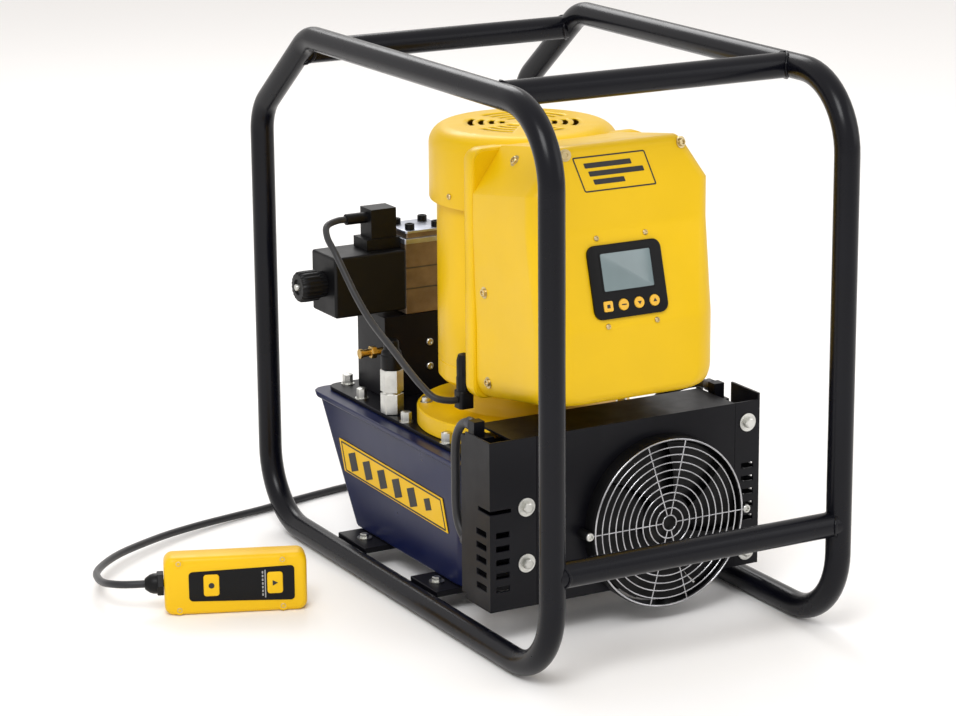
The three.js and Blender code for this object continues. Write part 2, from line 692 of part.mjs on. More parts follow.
// ---------------------------------------------------------------- assembly
const COLOURS = {
  black_tube: [0x15161c, 0.35, 0.2], black_sheet: [0x17181b, 0.45, 0.2], black_plastic: [0x1a1b1d, 0.55, 0],
  navy_paint: [0x141b3c, 0.4, 0.1], yellow_paint: [0xf2c811, 0.4, 0], yellow_plastic: [0xf5c400, 0.45, 0],
  amber_key: [0xe09a1a, 0.4, 0], screen_glass: [0x9fb2b5, 0.2, 0], chrome_wire: [0xc8c8c8, 0.2, 1],
  zinc_steel: [0xa9aaa6, 0.35, 1], brass: [0xb98b3e, 0.35, 1], dark_steel: [0x3a3c40, 0.4, 0.9],
  cord_rubber: [0x17171a, 0.6, 0], valve_metal: [0x8b7a66, 0.45, 0.7],
  circuit_green: [0x1f5a34, 0.5, 0],
};

const part = new THREE.Group();

function add(name, slot, shape) {
  const mesh = shape.getMesh();
  const g = new THREE.BufferGeometry();
  g.setAttribute('position', new THREE.BufferAttribute(new Float32Array(mesh.vertProperties), 3));
  g.setIndex(Array.from(mesh.triVerts));
  const flat = g.toNonIndexed();
  flat.computeVertexNormals();
  const [color, roughness, metalness] = COLOURS[slot];
  const material = new THREE.MeshStandardMaterial({ color, roughness, metalness, name: slot });
  const node = new THREE.Mesh(flat, material);
  node.name = name;
  part.add(node);
}

function addCage() {
  add('left_side_hoop', 'black_tube', sideHoop(-CAGE.x));
  add('right_side_hoop', 'black_tube', sideHoop(CAGE.x));
  add('top_front_cross_tube', 'black_tube', crossTube(-212, CAGE.high));
  add('top_rear_cross_tube', 'black_tube', crossTube(215, 543.2));
  add('lower_front_cross_tube', 'black_tube', crossTube(-CAGE.y, 118.6));
  add('front_base_bar', 'black_sheet', baseBar(-58, 0));
  add('rear_base_bar', 'black_sheet', baseBar(103, 168));
}

function addTank() {
  add('reservoir_tank', 'navy_paint', reservoirTank());
  add('tank_cover_plate', 'black_sheet', coverPlate());
  add('filler_breather_cap', 'black_plastic', fillCap());
  add('drain_plug', 'zinc_steel', drainPlug());
  add('tank_label_plate', 'yellow_plastic', tankLabel());
  add('pump_block', 'dark_steel', pumpBlock());
}

function addMotor() {
  add('pump_adapter_disc', 'yellow_paint', pumpAdapterDisc());
  add('motor_housing', 'yellow_paint', motorHousing());
  add('motor_stator', 'dark_steel', motorStator());
  add('motor_rotor_shaft', 'dark_steel', motorRotorShaft());
  add('motor_cooling_fan', 'black_plastic', motorCoolingFan());
  add('motor_fan_cover', 'yellow_paint', motorFanCover());
}

function addElectricalBox() {
  add('enclosure_rear_shell', 'yellow_paint', enclosureRearShell());
  add('enclosure_front_cover', 'yellow_paint', enclosureFrontCover());
  add('control_board', 'circuit_green', controlBoard());
  add('display_bezel', 'black_plastic', displayBezel());
  add('lcd_screen', 'screen_glass', lcdScreen());
  KEY_SPOTS.forEach((x, i) => add(`display_key_${i + 1}`, 'amber_key', displayKey(x)));
  add('pendant_cord_gland', 'black_plastic', boxGland(290));
  add('mains_cord_gland', 'black_plastic', boxGland(330));
}

function addValves() {
  add('valve_manifold', 'black_sheet', valveManifold());
  add('directional_valve_body', 'valve_metal', directionalValveBody());
  add('solenoid_housing', 'black_plastic', solenoidHousing());
  add('solenoid_end_knob', 'black_plastic', solenoidKnob());
  add('manual_override_pin', 'zinc_steel', overridePin());
  add('solenoid_connector', 'black_plastic', solenoidConnector());
  add('solenoid_lead', 'cord_rubber', solenoidLead());
  add('lead_gland', 'black_plastic', leadGland());
  add('hex_adapter', 'zinc_steel', hexAdapter());
  add('pressure_transducer', 'black_plastic', pressureTransducer());
  add('relief_valve_adjuster', 'brass', reliefAdjuster());
}

function addCooler() {
  add('cooler_left_bracket', 'black_sheet', coolerBracket(BRACKETS.left).mirror([1, 0, 0]));
  add('cooler_right_bracket', 'black_sheet', coolerBracket(BRACKETS.right));
  add('cooler_front_panel', 'black_sheet', coolerFrontPanel());
  add('heat_exchanger_core', 'black_sheet', heatExchangerCore());
  add('fan_shroud', 'black_plastic', fanShroud());
  add('fan_motor', 'black_plastic', fanMotor());
  add('fan_blades', 'black_plastic', fanBlades());
  add('fan_guard', 'chrome_wire', fanGuard());
  add('cooler_supply_hose', 'cord_rubber', supplyHose());
  add('cooler_return_hose', 'cord_rubber', returnHose());
}

function addPendant() {
  add('pendant_rear_case', 'yellow_plastic', pendantRearCase());
  add('pendant_front_case', 'yellow_plastic', pendantFrontCase());
  add('pendant_keypad', 'black_plastic', pendantKeypad());
  add('pendant_stop_button', 'yellow_plastic', pendantButton(-25));
  add('pendant_advance_button', 'yellow_plastic', pendantButton(40));
  add('pendant_gland', 'black_plastic', pendantGland());
  add('pendant_cord_from_box', 'cord_rubber', cordFromBox());
  add('pendant_cord_coil', 'cord_rubber', cordCoil());
  add('pendant_cord_to_pendant', 'cord_rubber', cordToPendant());
}

addCage();
addTank();
addMotor();
addElectricalBox();
addValves();
addCooler();
addPendant();

export default part;
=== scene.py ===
"""Looks for an electric hydraulic power unit in a roll cage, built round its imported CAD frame.

Lengths are millimetres in the part's frame (+Z up, the cooler fan faces -Y), times MM where
Blender wants metres.
"""
import json
import math

import bmesh
import bpy
from mathutils import Matrix, Vector

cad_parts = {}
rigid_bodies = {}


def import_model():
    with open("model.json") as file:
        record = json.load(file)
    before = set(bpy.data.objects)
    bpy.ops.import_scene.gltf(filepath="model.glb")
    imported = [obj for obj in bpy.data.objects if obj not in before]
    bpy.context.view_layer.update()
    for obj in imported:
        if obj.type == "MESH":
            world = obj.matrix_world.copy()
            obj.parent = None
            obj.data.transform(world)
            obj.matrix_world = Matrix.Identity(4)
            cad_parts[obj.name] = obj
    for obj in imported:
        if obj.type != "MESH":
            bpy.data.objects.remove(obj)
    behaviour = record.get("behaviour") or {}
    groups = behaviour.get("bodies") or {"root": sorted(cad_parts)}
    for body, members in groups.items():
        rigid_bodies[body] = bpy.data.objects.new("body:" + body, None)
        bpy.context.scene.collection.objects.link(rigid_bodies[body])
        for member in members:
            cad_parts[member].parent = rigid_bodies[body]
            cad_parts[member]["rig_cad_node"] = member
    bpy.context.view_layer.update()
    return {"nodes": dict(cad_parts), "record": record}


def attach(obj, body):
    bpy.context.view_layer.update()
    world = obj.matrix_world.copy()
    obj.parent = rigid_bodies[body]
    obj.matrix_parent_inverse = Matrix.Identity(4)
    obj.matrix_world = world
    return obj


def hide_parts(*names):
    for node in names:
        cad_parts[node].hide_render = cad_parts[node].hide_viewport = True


MM = 0.001
UNIT = "unit"
LEFT = (-1, 0, 0)
FRONT = (0, -1, 0)
TUBE_R = 12.7
CAGE = {"x": 164, "y": 312, "low": 12.7, "high": 562.7, "bend": 75}
CHAMFER = {"y": 122, "z": 95, "bend": 50}
TANK = {"low": 25.4, "rise": 134.6, "half": 125, "flare": 5}
MOTOR_Y = 28
HOOD = {"flat": 77.7, "round": 20, "top": 483}
SOLENOID = {"y": 197, "z": 295}
ADAPTER = (-108, 122, 0)
FAN_X, FAN_Z = 44, 104
PLATE_TOP = 164.3
COIL = {"x": 250, "y": 190, "inner": 43.9, "pitch": 8.2, "layers": 4, "turns": 3}
CORD_R = 4
LEAD_R = 3.6
HOSE_R = 4.6
LABEL_THICK = 1.55

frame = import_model()
nodes = frame["nodes"]


# -------- camera
def make_camera():
    """A long lens from the front left, a little above the cage."""
    azimuth, drop, roll = math.radians(28.78), math.radians(14.96), math.radians(-0.45)
    ahead = Vector((math.sin(azimuth) * math.cos(drop), math.cos(azimuth) * math.cos(drop), -math.sin(drop)))
    level = Vector((math.cos(azimuth), -math.sin(azimuth), 0))
    above = level.cross(ahead)
    right = level * math.cos(roll) + above * math.sin(roll)
    up = above * math.cos(roll) - level * math.sin(roll)
    data = bpy.data.cameras.new("camera")
    data.lens = 115.84
    data.sensor_width = 36
    camera = bpy.data.objects.new("camera", data)
    turn = Matrix((right, up, -ahead)).transposed().to_4x4()
    camera.matrix_world = Matrix.Translation((-1.5438, -2.6822, 1.0654)) @ turn
    bpy.context.scene.collection.objects.link(camera)
    bpy.context.scene.camera = camera


make_camera()
bpy.context.scene.view_settings.view_transform = "Standard"


# -------- node helpers for materials
def new_material(name, color, roughness, metallic=0.0, coat=0.0, sheen=0.0):
    mat = bpy.data.materials.new(name)
    mat.use_nodes = True
    shader = mat.node_tree.nodes["Principled BSDF"]
    shader.inputs["Base Color"].default_value = (*color, 1)
    shader.inputs["Roughness"].default_value = roughness
    shader.inputs["Metallic"].default_value = metallic
    shader.inputs["Coat Weight"].default_value = coat
    shader.inputs["Coat Roughness"].default_value = 0.12
    shader.inputs["Sheen Weight"].default_value = sheen
    mat.diffuse_color = (*color, 1)
    return mat, shader


def add_noise(mat, scale, detail=4.0, stretch=(1, 1, 1)):
    tree = mat.node_tree
    place = tree.nodes.new("ShaderNodeTexCoord")
    mapping = tree.nodes.new("ShaderNodeMapping")
    mapping.inputs["Scale"].default_value = stretch
    noise = tree.nodes.new("ShaderNodeTexNoise")
    noise.inputs["Scale"].default_value = scale
    noise.inputs["Detail"].default_value = detail
    tree.links.new(place.outputs["Object"], mapping.inputs["Vector"])
    tree.links.new(mapping.outputs["Vector"], noise.inputs["Vector"])
    return noise


def vary_color(mat, shader, noise, dark, light):
    ramp = mat.node_tree.nodes.new("ShaderNodeValToRGB")
    ramp.color_ramp.elements[0].position = 0.3
    ramp.color_ramp.elements[1].position = 0.7
    ramp.color_ramp.elements[0].color = (*dark, 1)
    ramp.color_ramp.elements[1].color = (*light, 1)
    mat.node_tree.links.new(noise.outputs["Fac"], ramp.inputs["Fac"])
    mat.node_tree.links.new(ramp.outputs["Color"], shader.inputs["Base Color"])


def vary_roughness(mat, shader, noise, low, high):
    spread = mat.node_tree.nodes.new("ShaderNodeMapRange")
    spread.inputs["To Min"].default_value = low
    spread.inputs["To Max"].default_value = high
    mat.node_tree.links.new(noise.outputs["Fac"], spread.inputs["Value"])
    mat.node_tree.links.new(spread.outputs["Result"], shader.inputs["Roughness"])


def add_bump(mat, shader, noise, depth_mm, strength):
    bump = mat.node_tree.nodes.new("ShaderNodeBump")
    bump.inputs["Distance"].default_value = depth_mm * MM
    bump.inputs["Strength"].default_value = strength
    mat.node_tree.links.new(noise.outputs["Fac"], bump.inputs["Height"])
    mat.node_tree.links.new(bump.outputs["Normal"], shader.inputs["Normal"])


def shade(color, factor):
    return tuple(min(1, c * factor) for c in color)


def painted(name, color, roughness, grain=260, depth=0.25, spread=0.12, coat=0.0, tint=0.12, specular=0.5):
    """Paint or powder coat: faint orange peel, patchy gloss and slight colour drift."""
    mat, shader = new_material(name, color, roughness, coat=coat)
    shader.inputs["Specular IOR Level"].default_value = specular
    drift = add_noise(mat, 14, 3)
    vary_color(mat, shader, drift, shade(color, 1 - tint), shade(color, 1 + tint))
    patches = add_noise(mat, 45, 5)
    vary_roughness(mat, shader, patches, max(0.05, roughness - spread), roughness + spread)
    add_bump(mat, shader, add_noise(mat, grain, 2), depth, 0.35)
    return mat


def machined(name, color, roughness, stretch=(1, 1, 12)):
    """Bare or plated metal with fine lines from the tool."""
    mat, shader = new_material(name, color, roughness, metallic=1.0)
    lines = add_noise(mat, 420, 3, stretch)
    vary_color(mat, shader, add_noise(mat, 60, 4), shade(color, 0.8), shade(color, 1.15))
    vary_roughness(mat, shader, lines, roughness * 0.7, roughness * 1.4)
    add_bump(mat, shader, lines, 0.08, 0.4)
    return mat


def rubbery(name, color, roughness):
    mat, shader = new_material(name, color, roughness, sheen=0.15)
    vary_color(mat, shader, add_noise(mat, 90, 4), shade(color, 0.75), shade(color, 1.35))
    add_bump(mat, shader, add_noise(mat, 900, 2), 0.12, 0.5)
    return mat


BLACK_TUBE = painted(
    "black_tube_coat", (0.0025, 0.0027, 0.005), 0.26, grain=520, depth=0.08, spread=0.06, specular=0.2,
)
BLACK_SHEET = painted("black_sheet_coat", (0.003, 0.003, 0.005), 0.38, grain=700, depth=0.12, specular=0.18)
BLACK_PLASTIC = painted("black_plastic", (0.0025, 0.0025, 0.003), 0.42, grain=1400, depth=0.1, specular=0.2)
NAVY_PAINT = painted(
    "navy_paint", (0.004, 0.0075, 0.045), 0.3, grain=420, depth=0.06, spread=0.06, tint=0.06, specular=0.3,
)
YELLOW_PAINT = painted(
    "yellow_paint", (0.75, 0.47, 0.0015), 0.36, grain=600, depth=0.08, tint=0.025, specular=0.28,
)
YELLOW_PLASTIC = painted(
    "yellow_plastic", (0.78, 0.47, 0.002), 0.4, grain=1500, depth=0.08, tint=0.03, specular=0.28,
)
AMBER = painted("amber_key", (0.75, 0.42, 0.03), 0.4, grain=900, depth=0.05)
LCD = painted("lcd_glass", (0.16, 0.215, 0.225), 0.14, grain=50, depth=0.02, spread=0.04, coat=0.6)
INK = painted("black_ink", (0.012, 0.012, 0.012), 0.5, grain=900, depth=0.05)
GREY_INK = painted("grey_ink", (0.3, 0.3, 0.3), 0.5, grain=900, depth=0.05)
CHROME = machined("chrome_wire", (0.5, 0.5, 0.52), 0.2)
ZINC = machined("zinc_plate", (0.58, 0.58, 0.55), 0.3)
PASSIVATE = machined("yellow_passivate", (0.62, 0.5, 0.27), 0.32)
BRASS = machined("turned_brass", (0.6, 0.4, 0.13), 0.3)
DARK_STEEL = machined("oiled_steel", (0.09, 0.09, 0.1), 0.42)
VALVE_CAST = machined("valve_casting", (0.22, 0.165, 0.115), 0.48)
VALVE_TOP = machined("valve_top", (0.42, 0.44, 0.5), 0.36)
CORD_RUBBER = rubbery("cord_rubber", (0.005, 0.005, 0.007), 0.5)
BOARD_GREEN = painted("board_lacquer", (0.02, 0.1, 0.03), 0.35)

SLOT_MATERIALS = {
    "black_tube": BLACK_TUBE, "black_sheet": BLACK_SHEET, "black_plastic": BLACK_PLASTIC,
    "navy_paint": NAVY_PAINT, "yellow_paint": YELLOW_PAINT, "yellow_plastic": YELLOW_PLASTIC,
    "amber_key": AMBER, "screen_glass": LCD, "chrome_wire": CHROME, "zinc_steel": ZINC, "brass": BRASS,
    "dark_steel": DARK_STEEL, "cord_rubber": CORD_RUBBER, "valve_metal": VALVE_CAST,
    "circuit_green": BOARD_GREEN,
}
SLOT_OF_NODE = {s["node"]: s["material_slot"] for s in frame["record"]["subparts"]}
SLOT_OF_MATERIAL = {m.name: s for s, m in SLOT_MATERIALS.items()}
EXTRA_SLOTS = {
    INK: "black_plastic", GREY_INK: "zinc_steel", PASSIVATE: "zinc_steel", VALVE_TOP: "valve_metal",
}
SLOT_OF_MATERIAL.update({m.name: s for m, s in EXTRA_SLOTS.items()})
BODY_OF_NODE = {n: b for b, ns in frame["record"]["behaviour"]["bodies"].items() for n in ns}

for node_name, node in nodes.items():
    node.data.materials.clear()
    node.data.materials.append(SLOT_MATERIALS[SLOT_OF_NODE[node_name]])


# -------- mesh helpers
def finish_piece(obj, material, body=UNIT, replaces=()):
    """Gives a new piece its material, its body and the CAD nodes that it stands for."""
    obj.data.materials.clear()
    obj.data.materials.append(material)
    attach(obj, body)
    if replaces:
        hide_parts(*replaces)
    return obj


def mesh_piece(name, bm, material, body=UNIT, replaces=(), smooth=40, bevel=0.0, segments=2):
    """A bmesh in millimetres as a piece: welded, smooth below an angle, edges rounded."""
    bmesh.ops.remove_doubles(bm, verts=bm.verts, dist=0.002)
    bmesh.ops.recalc_face_normals(bm, faces=bm.faces)
    bmesh.ops.scale(bm, vec=(MM, MM, MM), verts=bm.verts)
    mesh = bpy.data.meshes.new(name)
    bm.to_mesh(mesh)
    bm.free()
    for face in mesh.polygons:
        face.use_smooth = True
    mesh.set_sharp_from_angle(angle=math.radians(smooth))
    obj = bpy.data.objects.new(name, mesh)
    bpy.context.scene.collection.objects.link(obj)
    if bevel:
        rounding = obj.modifiers.new("rounded_edges", "BEVEL")
        rounding.width = bevel * MM
        rounding.segments = segments
        rounding.limit_method = "ANGLE"
        rounding.angle_limit = math.radians(smooth)
        rounding.use_clamp_overlap = True
        obj.modifiers.new("even_shading", "WEIGHTED_NORMAL").keep_sharp = True
    return finish_piece(obj, material, body, replaces)


def cut_out(obj, cutter):
    """Takes a closed bmesh, in millimetres, out of a finished piece."""
    bmesh.ops.recalc_face_normals(cutter, faces=cutter.faces)
    bmesh.ops.scale(cutter, vec=(MM, MM, MM), verts=cutter.verts)
    mesh = bpy.data.meshes.new("cutter")
    cutter.to_mesh(mesh)
    cutter.free()
    tool = bpy.data.objects.new("cutter", mesh)
    bpy.context.scene.collection.objects.link(tool)
    opening = obj.modifiers.new("openings", "BOOLEAN")
    opening.operation = "DIFFERENCE"
    opening.solver = "EXACT"
    opening.object = tool
    result = obj.evaluated_get(bpy.context.evaluated_depsgraph_get())
    cut = bpy.data.meshes.new_from_object(result)
    obj.modifiers.remove(opening)
    obj.data = cut
    bpy.data.objects.remove(tool)
    cut.set_sharp_from_angle(angle=math.radians(40))


def refined(node_name, bevel=0.8, smooth=32, segments=2):
    """The CAD node's own shape with rounded edges and smooth curved faces."""
    bm = bmesh.new()
    bm.from_mesh(nodes[node_name].data)
    bmesh.ops.scale(bm, vec=(1 / MM, 1 / MM, 1 / MM), verts=bm.verts)
    bmesh.ops.remove_doubles(bm, verts=bm.verts, dist=0.004)
    bmesh.ops.dissolve_limit(bm, angle_limit=math.radians(0.8), verts=bm.verts, edges=bm.edges)
    material = SLOT_MATERIALS[SLOT_OF_NODE[node_name]]
    body = BODY_OF_NODE[node_name]
    return mesh_piece(node_name + "_finish", bm, material, body, [node_name], smooth, bevel, segments)


def add_loops(bm, loops, closed_ring=False, cap=True):
    """Skins rings of points; caps the ends, or joins last to first."""
    rows = [[bm.verts.new(p) for p in loop] for loop in loops]
    count = len(rows[0])
    pairs = list(zip(rows, rows[1:])) + ([(rows[-1], rows[0])] if closed_ring else [])
    for low, high in pairs:
        for i in range(count):
            j = (i + 1) % count
            bm.faces.new((low[i], low[j], high[j], high[i]))
    if cap and not closed_ring:
        bm.faces.new(list(reversed(rows[0])))
        bm.faces.new(rows[-1])


def basis(axis):
    """A turn that takes +Z to `axis`."""
    w = Vector(axis).normalized()
    u = Vector((0, 0, 1)).cross(w)
    if u.length < 1e-4:
        u = Vector((1, 0, 0)).cross(w)
    u.normalize()
    return Matrix((u, w.cross(u), w)).transposed()


def circle(r, count):
    turns = [2 * math.pi * i / count for i in range(count)]
    return [(r * math.cos(t), r * math.sin(t)) for t in turns]


def add_turned(bm, outline, centre, axis=(0, 0, 1), sides=48, ribs=0, depth=0.0):
    """A turned body: (radius, height) points along `axis` from `centre`; ribs ripple its rim."""
    turn = basis(axis)
    loops = []
    for radius, height in outline:
        loop = []
        for i in range(sides):
            a = 2 * math.pi * i / sides
            r = max(radius, 0.01)
            if ribs and radius > 3:
                r -= depth * (0.5 + 0.5 * math.cos(ribs * a))
            loop.append(Vector(centre) + turn @ Vector((r * math.cos(a), r * math.sin(a), height)))
        loops.append(loop)
    add_loops(bm, loops)


def turned_piece(name, material, outline, centre, body=UNIT, replaces=(), smooth=40, **turning):
    """A piece that is one turned body."""
    bm = bmesh.new()
    add_turned(bm, outline, centre, **turning)
    return mesh_piece(name, bm, material, body, replaces, smooth)


def arc_points(cx, cy, r, start, end, steps):
    turns = [math.radians(start + (end - start) * i / steps) for i in range(steps + 1)]
    return [(cx + r * math.cos(t), cy + r * math.sin(t)) for t in turns]


def rounded_outline(x0, x1, y0, y1, r, steps=6):
    return (
        arc_points(x1 - r, y1 - r, r, 0, 90, steps) + arc_points(x0 + r, y1 - r, r, 90, 180, steps)
        + arc_points(x0 + r, y0 + r, r, 180, 270, steps) + arc_points(x1 - r, y0 + r, r, 270, 360, steps)
    )


def add_slab(bm, outline, low, high, place=None, edge=0.0):
    """A flat outline with thickness along +Z of `place`; `edge` rounds its upper rim."""
    place = place or Matrix.Identity(4)
    cx = sum(p[0] for p in outline) / len(outline)
    cy = sum(p[1] for p in outline) / len(outline)
    half = max(abs(p[0] - cx) for p in outline)
    levels = [(low, 1.0), (high - edge, 1.0)]
    levels += [(high - edge + edge * math.sin(t), 1 - edge * (1 - math.cos(t)) / half)
               for t in (math.radians(d) for d in (30, 60, 90)) if edge]
    loops = []
    for z, s in levels:
        loops.append([place @ Vector((cx + (x - cx) * s, cy + (y - cy) * s, z)) for x, y in outline])
    add_loops(bm, loops)


def add_tube(bm, points, radius, sides=16, closed_ring=False):
    """A round tube whose section stays square to a line of points."""
    loops = []
    count = len(points)
    side = None
    for i, point in enumerate(points):
        before = points[(i - 1) % count] if closed_ring or i else point
        after = points[(i + 1) % count] if closed_ring or i + 1 < count else point
        ahead = (Vector(after) - Vector(before)).normalized()
        if side is None:
            side = ahead.orthogonal().normalized()
        side = (side - ahead * side.dot(ahead)).normalized()
        other = ahead.cross(side)
        turns = [2 * math.pi * k / sides for k in range(sides)]
        loops.append([Vector(point) + radius * (side * math.cos(t) + other * math.sin(t)) for t in turns])
    add_loops(bm, loops, closed_ring)


def spline(points, per_span=8):
    """A smooth line through given points (centripetal Catmull-Rom)."""
    pts = [Vector(p) for p in points]
    pts = [pts[0] * 2 - pts[1], *pts, pts[-1] * 2 - pts[-2]]
    line = []
    for p0, p1, p2, p3 in zip(pts, pts[1:], pts[2:], pts[3:]):
        t1 = (p1 - p0).length ** 0.5
        t2 = t1 + (p2 - p1).length ** 0.5
        t3 = t2 + (p3 - p2).length ** 0.5
        for k in range(per_span):
            t = t1 + (t2 - t1) * k / per_span
            a1 = p0 * ((t1 - t) / t1) + p1 * (t / t1)
            a2 = p1 * ((t2 - t) / (t2 - t1)) + p2 * ((t - t1) / (t2 - t1))
            a3 = p2 * ((t3 - t) / (t3 - t2)) + p3 * ((t - t2) / (t3 - t2))
            b1 = a1 * ((t2 - t) / t2) + a2 * (t / t2)
            b2 = a2 * ((t3 - t) / (t3 - t1)) + a3 * ((t - t1) / (t3 - t1))
            line.append(b1 * ((t2 - t) / (t2 - t1)) + b2 * ((t - t1) / (t2 - t1)))
    return line + [Vector(points[-1])]


def curve_piece(name, points, radius, material, replaces=()):
    """One open round curve through millimetre points."""
    data = bpy.data.curves.new(name, "CURVE")
    data.dimensions = "3D"
    data.bevel_depth = radius * MM
    data.bevel_resolution = 5
    data.use_fill_caps = True
    line = data.splines.new("POLY")
    line.points.add(len(points) - 1)
    for slot_point, p in zip(line.points, points):
        slot_point.co = (*(Vector(p) * MM), 1)
    line.use_smooth = True
    obj = bpy.data.objects.new(name, data)
    bpy.context.scene.collection.objects.link(obj)
    return finish_piece(obj, material, replaces=replaces)


def length_of(points):
    return sum((b - a).length for a, b in zip(points, points[1:])) * MM


# -------- cords
CORD_FROM_BOX = [
    (125.6, -40, 290), (138, -40, 290), (154, -40, 286.5), (168, -39, 276), (178, -37, 259),
    (183, -33, 236), (185, -27, 200), (186.5, -20, 160), (188, -12, 118), (190, -2, 80), (193, 12, 46),
    (198, 31, 20), (206, 54, 7.5), (219, 79, 4.8), (236, 101, 4.4), (260, 114, 4.3),
]
CORD_TO_PENDANT = [
    (291.6, 254.8, 28), (278, 279, 20), (257, 307, 9), (226, 333, 5), (182, 355, 4.5), (120, 371, 4.3),
    (50, 378, 4.3), (-30, 373, 4.3), (-108, 357, 4.3), (-163, 342, 4.6), (-207, 331, 5.5), (-250, 318, 7),
    (-294, 300, 9), (-334, 278, 11), (-373, 251, 13.5), (-403, 221, 16), (-424, 190, 19), (-433, 162, 22),
    (-436, 141, 25), (-435, 126, 28), (-428, 112, 30), (-416.3, 102.9, 31), (-407.9, 99.6, 31),
    (-389.3, 92.2, 31), (-370.7, 84.7, 31),
]
SOLENOID_LEAD = [
    (-122.3, 197, 362), (-131, 197, 362), (-146.6, 192, 358.6), (-153, 179, 350), (-153, 160, 336),
    (-150, 143, 316), (-147, 125, 296), (-144, 98, 275), (-141, 55, 254), (-139, 22, 238),
    (-136, -0.3, 226.7), (-129, -14.2, 217), (-113, -20, 213), (-106.8, -20, 213),
]


def coil_points():
    """Flat spirals, in then out, each a cord's width above the last, with a short climb between."""
    pitch, turns = COIL["pitch"], COIL["turns"]
    outer = COIL["inner"] + turns * pitch
    steps = 20
    angle = -math.pi / 3
    points = []
    for layer in range(COIL["layers"]):
        height = 4.1 + layer * pitch
        start, end = (outer, COIL["inner"]) if layer % 2 == 0 else (COIL["inner"], outer)
        for k in range(turns * steps + 1):
            share = k / (turns * steps)
            radius = start + (end - start) * share
            points.append((radius, angle + 2 * math.pi * turns * share, height))
        angle += 2 * math.pi * turns
        if layer + 1 < COIL["layers"]:
            for k in (1, 2, 3):
                points.append((end, angle + k * math.radians(15), height + pitch * k / 4))
            angle += math.radians(60)
    last_turn = math.radians(30) - (angle % (2 * math.pi))
    last_turn %= 2 * math.pi
    radius, angle, height = points[-1]
    extra = max(2, round(last_turn / math.radians(18)))
    points += [(radius, angle + last_turn * k / extra, height) for k in range(1, extra + 1)]
    return [Vector((COIL["x"] + r * math.cos(a), COIL["y"] + r * math.sin(a), z)) for r, a, z in points]


def pendant_cord():
    route = [*CORD_FROM_BOX, *coil_points(), *CORD_TO_PENDANT]
    line = spline(route, 3)
    cord = curve_piece(
        "pendant_cord", line, CORD_R, CORD_RUBBER,
        replaces=["pendant_cord_from_box", "pendant_cord_coil", "pendant_cord_to_pendant"],
    )
    return cord, length_of(line), line[0]


cord_piece, cord_length, cord_exit = pendant_cord()
lead_line = spline(SOLENOID_LEAD, 8)
lead_piece = curve_piece("solenoid_lead_cable", lead_line, LEAD_R, CORD_RUBBER, replaces=["solenoid_lead"])


def coil_tie():
    """A flat strap round the coil's section at one place."""
    bm = bmesh.new()
    middle = COIL["inner"] + 1.5 * COIL["pitch"]
    for turn in (math.radians(200), math.radians(20)):
        loops = []
        outward = Vector((math.cos(turn), math.sin(turn), 0))
        sideways = Vector((-math.sin(turn), math.cos(turn), 0))
        centre = Vector((COIL["x"], COIL["y"], 16.4)) + outward * middle
        for grow, shift in ((0, -5), (1, -5), (1, 5), (0, 5)):
            outline = rounded_outline(-17 - grow, 17 + grow, -16.2, 16.6 + grow, 5, 4)
            loops.append([centre + outward * a + Vector((0, 0, b)) + sideways * shift for a, b in outline])
        add_loops(bm, loops, closed_ring=True)
    return mesh_piece("coil_tie", bm, BLACK_PLASTIC)


coil_strap = coil_tie()


# -------- screws and bolts
def add_screw(bm, centre, axis, radius=3.2, height=2.6, washer=0.0):
    """A round socket-head screw with a round recess, on a washer if asked for."""
    base = Vector(centre)
    w = Vector(axis).normalized()
    if washer:
        add_turned(bm, [(0, 0), (washer, 0), (washer, 0.9), (0, 0.9)], base, w, 28)
        base = base + w * 0.9
    rim = [(0, 0), (radius, 0), (radius, height - 0.6), (radius - 0.6, height), (radius * 0.6, height)]
    add_turned(bm, rim + [(radius * 0.55, height * 0.45), (0, height * 0.45)], base, w, 24)


def add_hex_bolt(bm, centre, axis, across=9.0, height=5.0, washer=8.0):
    base = Vector(centre)
    w = Vector(axis).normalized()
    add_turned(bm, [(0, 0), (washer, 0), (washer, 1.1), (0, 1.1)], base, w, 28)
    head = [(0, 1), (across * 0.55, 1), (across * 0.55, height)]
    head += [(across * 0.42, height + 0.8), (0, height + 0.8)]
    add_turned(bm, head, base, w, 6)


def screws(name, spots, material, maker=add_screw, **sizes):
    bm = bmesh.new()
    for centre, axis in spots:
        maker(bm, centre, axis, **sizes)
    return mesh_piece(name, bm, material, smooth=35)


# -------- cage
def hoop_line(x, steps=14):
    """The side hoop's centre line: four round corners, and a chamfer at the rear top."""
    y, low, high, bend = CAGE["y"], CAGE["low"], CAGE["high"], CAGE["bend"]
    corners = [
        (-y, low, bend), (y, low, bend), (y, high - CHAMFER["z"], CHAMFER["bend"]),
        (y - CHAMFER["y"], high, CHAMFER["bend"]), (-y, high, bend),
    ]
    line = []
    for i, (cy, cz, r) in enumerate(corners):
        here = Vector((cy, cz))
        into = (here - Vector(corners[i - 1][:2])).normalized()
        away = (Vector(corners[(i + 1) % len(corners)][:2]) - here).normalized()
        turn = math.acos(max(-1, min(1, into.dot(away))))
        start = here - into * r * math.tan(turn / 2)
        centre = start + Vector((-into.y, into.x)) * r
        first = math.atan2(start.y - centre.y, start.x - centre.x)
        for k in range(steps + 1):
            t = first + turn * k / steps
            line.append((x, centre.x + r * math.cos(t), centre.y + r * math.sin(t)))
    return line


